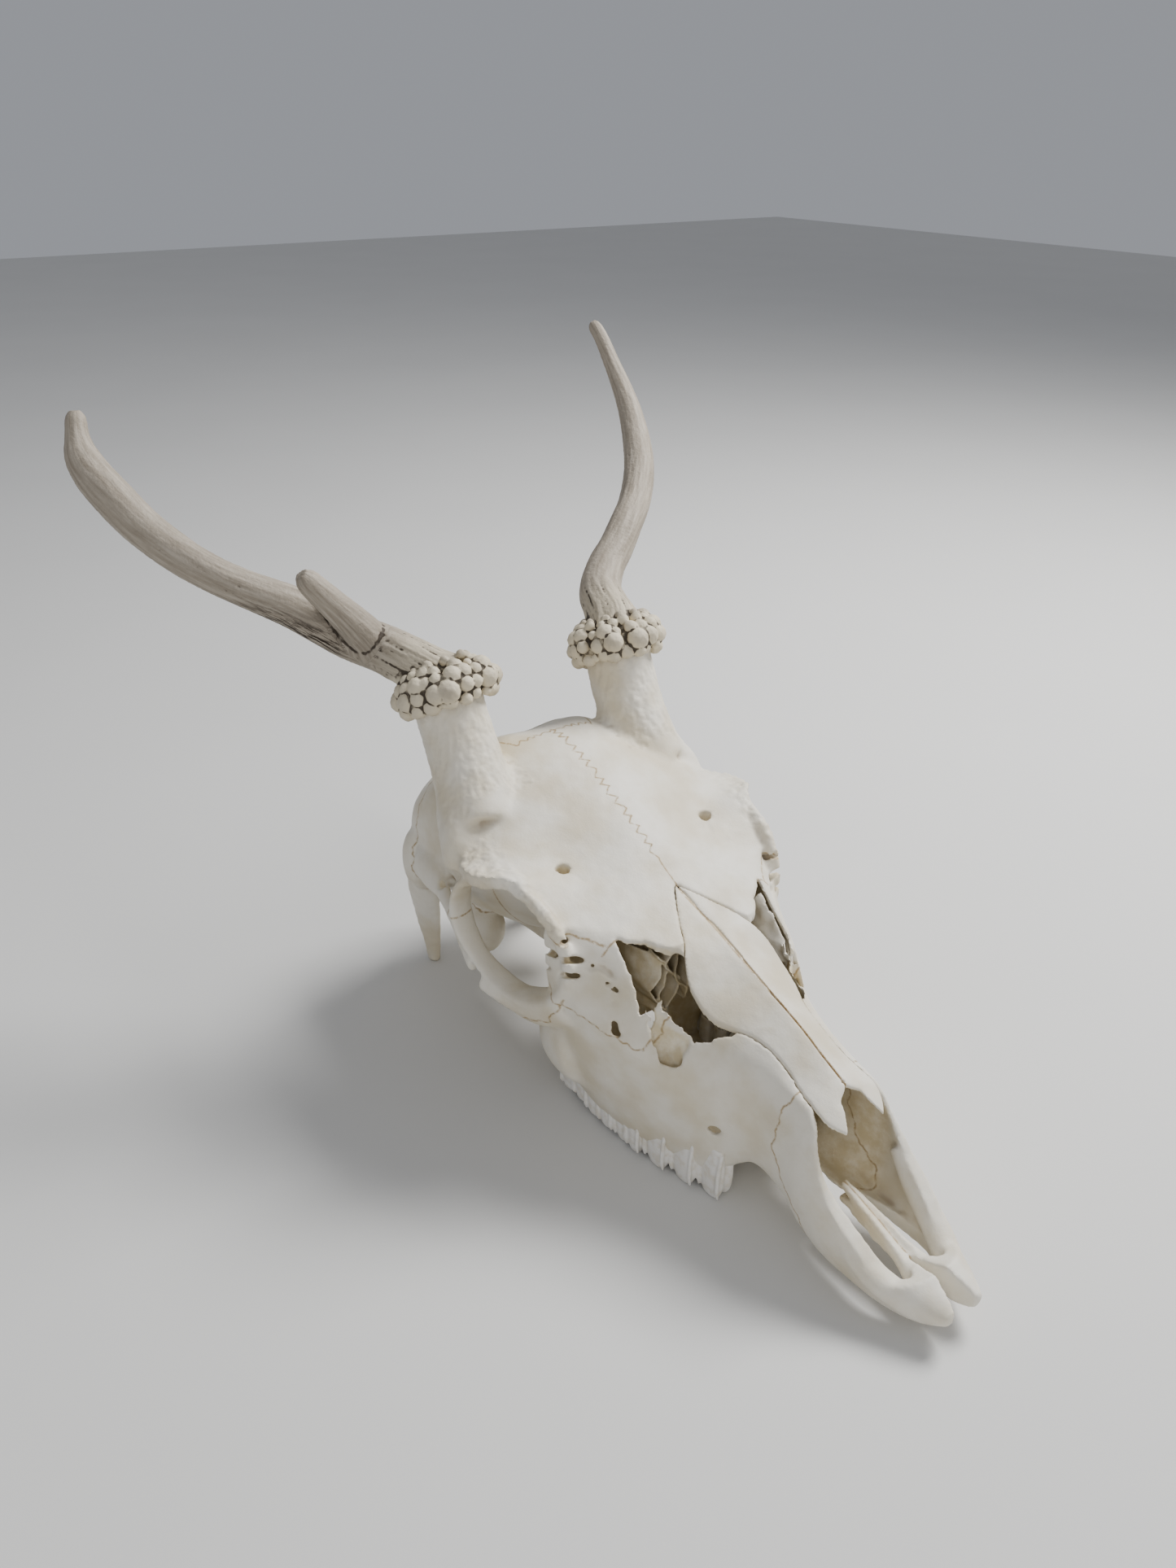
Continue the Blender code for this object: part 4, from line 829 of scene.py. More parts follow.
def smoothstep(t):
    """0 to 1, easing in and out."""
    t = min(max(t, 0.0), 1.0)
    return t * t * (3 - 2 * t)


def line_x(line, z):
    """x of a side-view line of (x, z) at height z, its heights falling."""
    for (xa, za), (xb, zb) in zip(line[:-1], line[1:]):
        if za >= z >= zb:
            return xa + (xb - xa) * (za - z) / (za - zb)
    return line[0][0] if z > line[0][1] else line[-1][0]


def coronal_x(y, z):
    """The suture behind the frontals: far forward on the roof, swept back round the pedicles."""
    forward = smoothstep((26 - abs(y)) / 9) * smoothstep((z - 92) / 18)
    return line_x(CORONAL, z) + CORONAL_SHIFT * forward


def midline_wave(x):
    """Sideways and lengthwise wander of the suture between the frontals."""
    tight = smoothstep((119 - x) / 5) * smoothstep((x - 50) / 3)
    phase = 2 * math.pi * (x / 4.3 + 0.45 * noise.noise(Vector((x * 0.19, 0, 0))))
    loose = 0.5 * noise.noise(Vector((x * 0.11, 7, 0)))
    loose *= smoothstep((x - 117) / 8)
    loose *= smoothstep((206 - x) / 30)
    swing = 1.5 + 0.7 * noise.noise(Vector((x * 0.13, 11, 0)))
    side = tight * (swing * math.sin(phase) + 0.6 * noise.noise(Vector((x * 0.9, 3, 0)))) + loose
    bow = 0.7 * smoothstep((x - 122) / 10) * smoothstep((190 - x) / 40)
    return tight * 0.24 * math.sin(2 * phase), side + bow


def sheet(bm, place, across, down, thickness):
    """A thin sheet in bm, bent by place(u, v) with u and v from 0 to 1."""
    own = bmesh.new()
    made = bmesh.ops.create_grid(own, x_segments=across, y_segments=down, size=1.0)["verts"]
    for k, vert in enumerate(made):
        row, column = divmod(k, across + 1)
        vert.co = at(*place(column / across, row / down))
    own.normal_update()
    bmesh.ops.solidify(own, geom=own.faces[:], thickness=thickness * MM)
    if own.calc_volume(signed=True) < 0:
        bmesh.ops.reverse_faces(own, faces=own.faces[:])
    take_in(bm, own)


def wavy(line, size, seed):
    """A line of (a, b) resampled finely and pushed to either side."""
    points = [Vector((a, b, 0)) for a, b in line]
    fine = []
    for a, b in zip(points[:-1], points[1:]):
        count = max(int((b - a).length / 0.6), 1)
        fine += [a.lerp(b, k / count) for k in range(count)]
    fine.append(points[-1])
    out = []
    for k, p in enumerate(fine):
        along = (fine[min(k + 2, len(fine) - 1)] - fine[max(k - 2, 0)]).normalized()
        calm = min(1.0, k / 4, (len(fine) - 1 - k) / 4)
        push = noise.noise(Vector((k * 0.21, seed, 0))) * 2 + noise.noise(Vector((k * 0.55, seed, 9)))
        out.append(p + Vector((-along.y, along.x, 0)) * size * push * calm)
    return out


def ribbon_saw(bm, line, low, high, view="side", size=0.0, seed=0.0):
    """A thin curved wall over a line, from low to high across the view."""
    points = wavy(line, size, seed)

    def place(u, v):
        t = u * (len(points) - 1)
        k = min(int(t), len(points) - 2)
        p = points[k].lerp(points[k + 1], t - k)
        depth = low + (high - low) * v
        return (p.x, depth, p.y) if view == "side" else (p.x, p.y, depth)
    sheet(bm, place, len(points) - 1, 1, GAP)


def saws():
    """Every saw that parts the bones."""
    made = []

    def coronal(u, v):
        y = -CORONAL_REACH + 2 * CORONAL_REACH * u
        z = SAW_TOP + (BLOCK_LOW_Z - SAW_TOP) * v
        wave = math.sin(2 * math.pi * y / 3.4 + 2 * noise.noise(Vector((y * 0.2, 0, 0))))
        jag = smoothstep((z - 100) / 12) * (0.8 * wave + 0.8 * noise.noise(Vector((y * 0.5, 4, 0))))
        return coronal_x(y, z) + jag, y, z

    def midline_back(u, v):
        z = SAW_TOP - 94.0 * v
        x0 = coronal_x(0, z) - 1.8
        x = x0 + (FACE_BACK_X + 0.4 - x0) * u
        dx, dy = midline_wave(x)
        return x + dx, dy, z

    def midline_front(u, v):
        x = FACE_BACK_X - 1.5 + (290 - FACE_BACK_X) * u
        dx, dy = midline_wave(x)
        return x + dx, dy, SAW_TOP - 146 * v

    for k, group in enumerate(SAW_GROUPS):
        bm = bmesh.new()
        for member in group:
            if member == "coronal":
                sheet(bm, coronal, 200, 46, GAP)
            elif member == "midline_back":
                sheet(bm, midline_back, 190, 46, GAP)
            elif member == "midline_front":
                sheet(bm, midline_front, 250, 2, GAP)
            else:
                view, line, inner, outer, size = SUTURES[member]
                if view == "top":
                    for side in (1, -1):
                        ribbon_saw(bm, mirror(line, side), inner, outer, "top")
                    continue
                for low, high in [(-outer, outer)] if inner == 0 else [(inner, outer), (-outer, -inner)]:
                    ribbon_saw(bm, line, low, high, "side", size, len(member) + (0.5 if low < 0 else 0.0))
        made.append(new_object(f"saws_{k}", bm, turn_outward=False))
    return made


def loose_parts(obj):
    """The separate bodies of obj, as objects."""
    bpy.ops.object.select_all(action="DESELECT")
    obj.select_set(True)
    bpy.context.view_layer.objects.active = obj
    before = set(bpy.context.scene.objects)
    bpy.ops.mesh.separate(type="LOOSE")
    return [obj] + [o for o in bpy.context.scene.objects if o not in before]


def part_bones(skull):
    """Name each body after the bone whose seed lies nearest, and take the chips away."""
    seeds = {name: at(*seed) for name, seed in BONES.items()}
    for name, (x, y, z) in PAIRED_BONES.items():
        seeds[name + "_left"] = at(x, y, z)
        seeds[name + "_right"] = at(x, -y, z)
    bodies = loose_parts(skull)
    large = [b for b in bodies if len(b.data.polygons) > 400]
    trees = [tree_of([b]) for b in large]
    bones = {}
    for name, seed in seeds.items():
        nearest = min(range(len(large)), key=lambda k: trees[k].find_nearest(seed)[3])
        if nearest in bones:
            raise RuntimeError(f"{name} is still joined to {bones[nearest]}")
        bones[nearest] = name
    kept = {}
    for k, body in enumerate(large):
        if k in bones:
            body.name = bones[k] + "_bone"
            kept[bones[k]] = body
    for body in bodies:
        if body not in kept.values():
            remove(body)
    return kept


# ---------------------------------------------------------------- surface and attributes
def undulate(obj):
    """Gentle swells all over, and coarser lumps on the frontal rim and the pedicles."""
    mesh = obj.data
    co = places(mesh)
    push = np.empty(len(co), np.float32)
    grain = noise.noise
    for k, (x, y, z) in enumerate(co.tolist()):
        p = Vector((x, y, z))
        amount = 0.22 * grain(p * 0.09) + 0.09 * grain(p * 0.33)
        side = abs(y)
        if side > 22 and z > 100 and x < 72:
            wrinkle = 0.34 * grain(Vector((x * 0.5, y * 0.5, z * 0.16))) + 0.2 * grain(p * 0.8)
            amount += smoothstep((z - 100) / 12) * wrinkle
        rim = smoothstep((side - 44) / 8) * smoothstep((z - 84) / 4) * smoothstep((x - 74) / 6)
        if rim > 0:
            amount += rim * (0.55 * grain(p * 0.34) + 0.35 * grain(p * 0.8))
        if z < 50 and x < 20:
            amount += 0.25 * grain(p * 0.4)
        push[k] = amount
    push_out(mesh, push)


def near(mesh, tree, reach):
    """For each vertex its distance to the tree in mm, at most reach."""
    found = np.full(len(mesh.vertices), reach, np.float32)
    find = tree.find_nearest
    limit = reach * MM
    for k, vert in enumerate(mesh.vertices):
        hit = find(vert.co, limit)
        if hit[3] is not None:
            found[k] = hit[3] / MM
    return found


def finish_piece(obj, material, nodes, sharp=40, rounds=2):
    """Shade, dress and hang a piece in the frame."""
    mesh = obj.data
    # how deep each vertex lies in a crevice, which the materials turn into painted shade
    set_attribute(mesh, "crevice", hollowness(mesh, rounds))
    mesh.materials.clear()
    mesh.materials.append(material)
    mesh.shade_smooth()
    if sharp:
        mesh.set_sharp_from_angle(angle=math.radians(sharp))
    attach(obj, "root")
    if nodes:
        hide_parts(*nodes)


# ---------------------------------------------------------------- materials
def linear(code):
    """A hex colour as linear red, green, blue and alpha."""
    values = [int(code[i:i + 2], 16) / 255 for i in (1, 3, 5)]
    return [v / 12.92 if v <= 0.04045 else ((v + 0.055) / 1.055) ** 2.4 for v in values] + [1.0]


def per(mm):
    """Texture scale whose features are about mm across."""
    return 1000.0 / mm


# the nodes in use: type, settings, the inputs that add_node fills in order, and the output it gives
NODES = {
    "place": ("ShaderNodeTexCoord", {}, (), "Object"),
    "blend": ("ShaderNodeMix", {"data_type": "RGBA"}, (0, 6, 7), 2),
    "ease": ("ShaderNodeMapRange", {"interpolation_type": "SMOOTHSTEP"},
             ("Value", "From Min", "From Max", "To Max"), 0),
    "range": ("ShaderNodeMapRange", {}, ("Value", "To Min", "To Max"), 0),
    "product": ("ShaderNodeMath", {"operation": "MULTIPLY"}, (0, 1), 0),
    "sum": ("ShaderNodeMath", {"operation": "ADD"}, (0, 1), 0),
    "stored": ("ShaderNodeAttribute", {}, (), "Fac"),
    "stored_place": ("ShaderNodeAttribute", {}, (), "Vector"),
    "noise": ("ShaderNodeTexNoise", {}, ("Vector", "Scale", "Detail", "Roughness"), "Fac"),
    "relief": ("ShaderNodeBump", {}, ("Strength", "Distance", "Height"), 0)}


def add_node(tree, name, *values, **settings):
    """The output of a new node, with its inputs set or linked and its settings made."""
    kind, usual, inputs, output = NODES[name]
    made = tree.nodes.new(kind)
    for key, value in {**usual, **settings}.items():
        setattr(made, key, value)
    for socket, value in zip(inputs, values):
        if isinstance(value, bpy.types.NodeSocket):
            tree.links.new(value, made.inputs[socket])
        else:
            made.inputs[socket].default_value = value
    return made.outputs[output]


def new_material(name, roughness):
    """A material, its shader, the way to add nodes to it, and the object's own coordinates."""
    material = bpy.data.materials.new(name)
    material.use_nodes = True
    add = partial(add_node, material.node_tree)
    shader = material.node_tree.nodes["Principled BSDF"]
    shader.inputs["Roughness"].default_value = roughness
    shader.inputs["Specular IOR Level"].default_value = 0.35
    return material, shader, add, add("place")


def wire(shader, **sources):
    """Link outputs to the shader's inputs, named in lower case."""
    for name, source in sources.items():
        socket = shader.inputs[name.replace("_", " ").title()]
        shader.id_data.links.new(source, socket)


def bone_material(looks):
    """Sun-bleached bone: ivory with faint mottling, tan where the inside shows and as painted shade deep in
    pits, stained in the sutures, and painted shade in the crevices.
    """
    material, shader, add, where = new_material("bleached_bone", 0.5)
    mottled = add("ease", add("noise", where, per(22.0), 4), 0.35, 0.7)
    colour = add("blend", mottled, looks.bone_colour[:], looks.bone_warm_colour[:])
    cream = add("ease", add("noise", where, per(7.0), 5, 0.6), 0.52, 0.8, 0.35)
    colour = add("blend", cream, colour, looks.bone_warm_colour[:])
    # tan inner bone where the surface lies below the outer skin: the nose's inner walls, and painted shade
    # deep in the pits and slots
    inside = add("ease", add("stored", attribute_name="inner"), 0.3, 1.0)
    patchy = add("ease", add("noise", where, per(5.0), 5, 0.6), 0.35, 0.7)
    colour = add("blend", inside, colour,
                 add("blend", patchy, looks.inner_and_pit_shade_colour[:], looks.pale_inner_and_pit_shade_colour[:]))
    broken = add("ease", add("noise", where, per(1.6), 3, 0.6), 0.25, 0.6, 0.85)
    seam = add("product", add("ease", add("stored", attribute_name="suture"), 0.15, 0.9), broken)
    colour = add("blend", seam, colour, looks.suture_colour[:])
    # painted shade: the crevices are darkened towards the crevice shade colour
    hollow = add("ease", add("stored", attribute_name="crevice"), 0.03, 0.16, 0.6)
    pores = add("sum", add("noise", where, per(0.9), 4, 0.6), add("noise", where, per(4.5), 3))
    wire(shader, base_color=add("blend", hollow, colour, looks.crevice_shade_colour[:]),
         roughness=add("range", add("noise", where, per(3.0), 4), 0.42, 0.62),
         normal=add("relief", 0.35, 0.25 * MM, pores))
    return material


def enamel_material(looks):
    """Worn tooth enamel: near white and glossier than bone, with painted shade in brown between the cusps."""
    material, shader, add, where = new_material("tooth_enamel", 0.3)
    yellowed = add("ease", add("noise", where, per(3.0), 4), 0.4, 0.7, 0.5)
    colour = add("blend", yellowed, looks.enamel_colour[:], looks.bone_warm_colour[:])
    # painted shade: the crevices between the cusps are darkened
    hollow = add("ease", add("stored", attribute_name="crevice"), 0.04, 0.2, 0.7)
    wire(shader, base_color=add("blend", hollow, colour, looks.crevice_shade_colour[:]),
         normal=add("relief", 0.25, 0.2 * MM, add("noise", where, per(0.8), 4, 0.6)))
    return material


def antler_material(looks):
    """Weathered antler: grey-beige, streaked lengthwise, dark in patches, with a painted shadow in the fork
    of the brow tine and painted shade in patches between the pearls.
    """
    material, shader, add, where = new_material("weathered_antler", 0.6)
    along = add("stored_place", attribute_name="along_grain")
    streaks = add("ease", add("noise", along, per(1.6), 5, 0.6), 0.25, 0.85)
    colour = add("blend", streaks, looks.antler_colour[:], looks.antler_pale_colour[:])
    pale = add("product", add("stored", attribute_name="pale"), 0.8)
    colour = add("blend", pale, colour, looks.bone_warm_colour[:])
    # speckled darkening: towards the beam's underside and near the burr, and a painted shadow in the fork of
    # the brow tine
    speckle = add("product", add("stored", attribute_name="stain_and_shade"),
                  add("ease", add("noise", along, per(1.0), 6, 0.7), 0.42, 0.6))
    colour = add("blend", speckle, colour, looks.antler_speckle_and_shade_colour[:])
    # painted shade: crevices between the pearls and in the furrows are darkened in patches
    hollow = add("product", add("ease", add("stored", attribute_name="crevice"), 0.004, 0.035, 0.9),
                 add("ease", add("noise", where, per(5.0), 3), 0.3, 0.52))
    pits = add("sum", add("noise", along, per(1.2), 5, 0.65), add("noise", where, per(0.8), 4))
    wire(shader, base_color=add("blend", hollow, colour, looks.antler_speckle_and_shade_colour[:]),
         normal=add("relief", 0.5, 0.35 * MM, pits))
    return material


def floor_material(looks):
    """Matt pale studio floor, with a trace of unevenness."""
    material, shader, add, where = new_material("pale_floor", 0.85)
    even = add("ease", add("noise", where, per(160.0), 2), 0.2, 0.8, 0.35)
    shade = [0.94 * v for v in looks.floor_colour[:3]] + [1.0]
    wire(shader, base_color=add("blend", even, looks.floor_colour[:], shade))
    return material


def shared(name, maker):
    """A material that several operators use, made the first time it is asked for."""
    return bpy.data.materials.get(name) or maker(bpy.context.scene.deer_skull)


# ---------------------------------------------------------------- nasals, ethmoid, teeth
def roof_height(x, y):
    """Height of the face's top at y out from the middle."""
    z0, *rest, _ = eased(FACE, x)
    curve = spline([(0.0, z0, 0)] + [(rest[i], rest[i + 1], 0) for i in range(0, len(rest), 2)], 12)
    for a, b in zip(curve[:-1], curve[1:]):
        if a.x <= y <= b.x:
            return a.y + (b.y - a.y) * (y - a.x) / max(b.x - a.x, 1e-9)
    return curve[-1].y


def nasal_bone(side):
    """A nasal: a sheet along the roof of the face with a forked tip, given its thickness downward."""
    bm = bmesh.new()
    long, wide = 150, 26
    made = bmesh.ops.create_grid(bm, x_segments=wide, y_segments=long, size=1.0)["verts"]
    for k, vert in enumerate(made):
        row, column = divmod(k, wide + 1)
        x = NASAL[0][0] + (NASAL[-1][0] - NASAL[0][0]) * row / long
        inner, outer = eased(NASAL, x)
        y = inner + (outer - inner) * column / wide
        lift = 0.35 * math.exp(-((y - inner) / 1.6) ** 2)
        wave = midline_wave(x)[1] * side * (1 - column / wide) ** 2
        vert.co = at(x, side * (y + wave), roof_height(x, y) - lift)
    lower = bmesh.ops.extrude_face_region(bm, geom=bm.faces[:])["geom"]
    for vert in lower:
        if isinstance(vert, bmesh.types.BMVert):
            x = vert.co.x / MM + FOOTPRINT_MIDDLE.x
            vert.co.z -= (2.4 - 1.1 * smoothstep((x - 200) / 18)) * MM
    return fuse(new_object("nasal_bone", bm), 0.45, 2)


def scrolls():
    """The crumpled plates at the back of the nasal cavity."""
    bm = bmesh.new()
    for k in range(10):
        side = 1 if k % 2 else -1
        rank = k // 2
        base = 3.4 + 4.4 * rank

        def place(u, v, base=base, side=side, k=k):
            reach = 24 - 1.5 * abs(rank - 2) + 7 * noise.noise(Vector((u * 2.4, k * 1.7, 0)))
            bend = 2.4 * noise.noise(Vector((u * 2.1, v * 1.2, k * 3)))
            bend += 1.1 * noise.noise(Vector((u * 6, v * 3, k * 5)))
            curl = 2.6 * math.sin(2.6 * math.pi * u + 2 * k) * v * v
            return 120 + reach * v, side * (base + bend * (0.3 + v) + curl), 54 + 30 * u - 0.35 * base * u
        sheet(bm, place, 44, 20, 0.75)
    bmesh.ops.create_cube(bm, size=1.0, matrix=Matrix.Translation(at(119.8, 0, 68))
                          @ Matrix.Diagonal((2.0 * MM, 50 * MM, 34 * MM, 1)))
    return fuse(new_object("ethmoid_scrolls", bm), 0.5, 1)


def tooth(bm, x, y, length, width, low, lobes, side):
    """One cheek tooth: outer and inner crescents that end in points, ribs on the outer face."""
    half = length / lobes / 2
    for lobe in range(lobes):
        middle = x + (lobe - (lobes - 1) / 2) * 2 * half
        for inner, shift in ((False, 0.22), (True, -0.24)):
            rings = []
            depth = width * (0.27 if not inner else 0.30)
            tip = low + (0.0 if not inner else 0.5)
            for level, share, thick in CROWN_RINGS:
                z = max(level, tip + 0.02) if level > 2 else tip + level * 0.5
                lean = (1 - level / 22) * width * 0.03
                ring = []
                for n in range(TOOTH_SIDES):
                    a = 2 * math.pi * n / TOOTH_SIDES
                    c, s = math.cos(a), math.sin(a)
                    out = y + width * shift + lean + depth * thick * math.copysign(abs(s) ** 0.9, s)
                    ring.append(at(middle + half * share * math.copysign(abs(c) ** 0.8, c), side * out, z))
                rings.append(ring)
            loft(bm, rings)
        outer = y + width * 0.46
        for where, reach in ((middle - half * 0.9, 0.8), (middle + half * 0.9, 0.8)):
            rib = ((-1.2, 21, 1.0), (0.0, 12, 1.0), (0.1, 5, 1.0), (-0.5, low + 1.6, 0.6))
            sweep(bm, [((where, side * (outer + out), z), reach * share) for out, z, share in rib], 10)


def teeth_row(side):
    """The six cheek teeth of a side."""
    bm = bmesh.new()
    for row in TEETH:
        tooth(bm, *row, side)
    obj = fuse(new_object("cheek_teeth_" + ("left" if side > 0 else "right"), bm), 0.4, 1)
    return cut(obj, [prism("floor", TEETH_OUTLINE, *GROUND_LEVELS)])


# ---------------------------------------------------------------- antlers
def burr(bm, side, looks):
    """The drum of the rim at the antler's foot, put in bm, and the centres and sizes of its pearls."""
    centre, axis = burr_frame(side)
    side_a = axis.orthogonal().normalized()
    side_b = axis.cross(side_a)
    rings = []
    for level, share in ((-0.56, 0.84), (-0.3, 0.96), (0.2, 0.95), (0.62, 0.76)):
        rings.append([at(*(centre + axis * level * BURR_HEIGHT + (side_a * math.cos(a) + side_b * math.sin(a))
                           * BURR_RADIUS * share)) for a in (2 * math.pi * k / 48 for k in range(48))])
    loft(bm, rings)
    pearls = []
    for row, (level, count, reach, size) in enumerate(PEARL_ROWS):
        for k in range(count):
            seed = Vector((k * 1.7, row * 5.1, side))
            turn = 2 * math.pi * (k + 0.5 * row + 0.8 * noise.noise(seed)) / count
            out = BURR_RADIUS * reach * (1 + 0.05 * noise.noise(seed * 2.1))
            swell = looks.pearl_size / MIDDLING_PEARL * size * (1 + 0.7 * noise.noise(seed * 1.3))
            lift = level * BURR_HEIGHT + 1.3 * noise.noise(seed * 3.3)
            outward = side_a * math.cos(turn) + side_b * math.sin(turn)
            pearls.append((centre + axis * lift + outward * out, swell))
    return pearls


def antler(side, looks):
    """One antler with its burr, seated over the end of the pedicle."""
    tag = "left" if side > 0 else "right"
    stations = BEAM_LEFT if side > 0 else BEAM_RIGHT
    branches = [stations] if side > 0 else [stations, BROW_TINE]
    bm = bmesh.new()
    pearls = burr(bm, side, looks)
    bead = bmesh.new()
    bmesh.ops.create_icosphere(bead, subdivisions=2, radius=1.0)
    for centre, swell in pearls:
        copy = bead.copy()
        bmesh.ops.transform(copy, matrix=Matrix.Translation(at(*centre)) @ Matrix.Scale(swell * MM, 4),
                            verts=copy.verts[:])
        take_in(bm, copy)
    bead.free()
    for branch in branches:
        sweep(bm, on_side(branch, side, 5), 40)
    obj = fuse(new_object("antler_" + tag, bm), 0.45, 1)
    plug = bmesh.new()
    bmesh.ops.create_cone(plug, cap_ends=True, segments=48, radius1=PLUG_RADIUS * MM,
                          radius2=PLUG_RADIUS * MM, depth=PLUG_DEPTH * MM,
                          matrix=on_burr(side, -(BURR_HEIGHT / 2 + PLUG_DEPTH / 2)))
    obj = cut(obj, [new_object("antler_foot", plug)])
    grooved(obj, side, branches, looks)
    return obj


def grooved(obj, side, branches, looks):
    """Lengthwise furrows and the attributes that the antler's colours follow."""
    mesh = obj.data
    paths = []
    for branch in branches:
        points = even_path([(c[0], side * c[1], c[2]) for c, _ in branch], 1.0)
        frames, across = [], Vector((0.3, 1.0, 0.2))
        for k, p in enumerate(points):
            along = (points[min(k + 1, len(points) - 1)] - points[max(k - 1, 0)]).normalized()
            across = (across - along * across.dot(along)).normalized()
            frames.append((p, along, across.copy(), along.cross(across), k * 1.0))
        paths += frames
    finder = KDTree(len(paths))
    for k, entry in enumerate(paths):
        finder.insert(at(*entry[0]), k)
    finder.balance()
    centre, axis = burr_frame(side)
    count = len(mesh.vertices)
    push, pale, stain_and_shade = (np.zeros(count, np.float32) for _ in range(3))
    grain = np.zeros((count, 3), np.float32)
    for k, vert in enumerate(mesh.vertices):
        p = vert.co / MM + FOOTPRINT_MIDDLE
        _, n, _ = finder.find(vert.co)
        origin, along, across, third, run = paths[n]
        off = p - origin
        turn = math.atan2(off.dot(third), off.dot(across))
        ring = Vector((math.cos(turn) * 7, math.sin(turn) * 7, (run + off.dot(along)) * 0.11))
        burr_part = smoothstep((9.5 - abs((p - centre).dot(axis))) / 3)
        burr_part *= smoothstep((23 - (p - centre).length) / 4)
        near_burr = smoothstep((34 - (p - centre).length) / 22)
        furrow = noise.noise(ring * 0.42) + 0.6 * noise.noise(ring * 0.95)
        depth = looks.groove_depth / MM * (0.6 + 1.6 * near_burr)
        push[k] = (1 - burr_part) * depth * furrow + 0.1 * noise.noise(p * 0.8)
        grain[k] = ring * MM
        pale[k] = max(0.0, near_burr - 0.1) + 0.6 * burr_part
        # speckled darkening: darker towards the underside of the beam and near the burr, and a painted shadow
        # in the fork where the brow tine leaves the beam
        under = -off.normalized().z if off.length else 0.0
        mid = math.exp(-((run - 62) / 22) ** 2) if side < 0 else 0.35 * math.exp(-((run - 70) / 30) ** 2)
        fork = 0.9 * math.exp(-((p - Vector(TINE_FORK_SHADOW)).length / 10) ** 2)
        stain_and_shade[k] = (1 - burr_part) * (mid * smoothstep((under + 0.35) / 0.8) + 0.25 * near_burr + fork)
    push_out(mesh, push)
    layer = mesh.attributes.new("along_grain", "FLOAT_VECTOR", "POINT")
    layer.data.foreach_set("vector", grain.ravel())
    set_attribute(mesh, "pale", pale)
    set_attribute(mesh, "stain_and_shade", stain_and_shade)


# ---------------------------------------------------------------- settings
def length_setting(name, description, default):
    """A length, in metres."""
    return bpy.props.FloatProperty(name=name, description=description, default=default, unit="LENGTH")


def colour_setting(name, description, code):
    """A colour given as a hex code."""
    return bpy.props.FloatVectorProperty(name=name, description=description, default=linear(code), size=4,
                                         subtype="COLOR")


class DeerSkullSettings(bpy.types.PropertyGroup):
    """Sizes and colours of the skull."""
    grain: length_setting("Bone grain", "Fineness of the bone's surface mesh", 0.0007)
    suture_width: length_setting("Suture width", "Width of the stained band along each suture", 0.0006)
    pearl_size: length_setting("Pearl radius", "Radius of a middling pearl of the burr", MIDDLING_PEARL)
    groove_depth: length_setting("Groove depth", "Depth of the antlers' lengthwise furrows", 0.0003)
    bone_colour: colour_setting("Bone", "Bleached outer bone", "#E9E4D8")
    bone_warm_colour: colour_setting("Warm bone", "Creamier patches of the bone", "#D9CFB9")
    # the inner colours also paint shade deep in the pits and slots
    inner_and_pit_shade_colour: colour_setting("Inner bone", "Tan inner walls of the nose", "#D9CCAE")
    pale_inner_and_pit_shade_colour: colour_setting("Pale inner bone", "Lighter patches inside", "#EAE2CF")
    suture_colour: colour_setting("Suture", "Stain along the sutures", "#B79F78")
    # painted shade: the colour that darkens crevices, in pits and between cusps
    crevice_shade_colour: colour_setting("Stain", "Dirt in pits and between cusps", "#8C7451")
    enamel_colour: colour_setting("Enamel", "Tooth enamel", "#F1EEE8")
    antler_colour: colour_setting("Antler", "Darker streaks of the antlers", "#9C9284")
    antler_pale_colour: colour_setting("Pale antler", "Paler streaks of the antlers", "#C3BAAC")
    # used for the speckles and for the painted shade between the pearls and in the tine's fork
    antler_speckle_and_shade_colour: colour_setting("Dark antler", "Speckles and cracks", "#3E342A")
    floor_colour: colour_setting("Floor", "Pale studio floor", "#DCDBD8")


# ---------------------------------------------------------------- operators
class DEERSKULL_OT_bones(bpy.types.Operator):
    """Grow the skull in one skin, open and break it, and part it along its sutures"""
    bl_idname = "deerskull.bones"
    bl_label = "Skull bones"

    def execute(self, context):
        looks = context.scene.deer_skull
        skull = fuse(skull_forms(), 0.8, 3)
        soften(skull, [((x, side * y, z), radius) for side in (1, -1) for (x, y, z), radius in BLENDS], 90)
        outside = tree_of([skull])
        cut(skull, openings())
        join(skull, [shards()])
        fuse(skull, looks.grain / MM, 1)
        cut(skull, [blemishes()])
        fuse(skull, looks.grain / MM, 2)
        undulate(skull)
        cutters = saws()
        seams = tree_of(cutters)
        cut(skull, cutters)
        material = shared("bleached_bone", bone_material)
        for name, bone in part_bones(skull).items():
            mesh = bone.data
            # depth below the first outer skin: tan inner walls of the nose, and painted shade deep in the
            # pits and slots
            depth = near(mesh, outside, 2.0)
            along = places(mesh)[:, 0]
            inner = np.clip((depth - 0.6) / 1.0, 0, 1) * np.clip((226 - along) / 12, 0, 1)
            set_attribute(mesh, "inner", inner * PALER_INSIDE.get(name, 1.0))
            reach = looks.suture_width / MM
            band = near(mesh, seams, 2 * reach)
            set_attribute(mesh, "suture", np.clip(1 - band / reach, 0, 1))
            finish_piece(bone, material, [name])
        return {"FINISHED"}


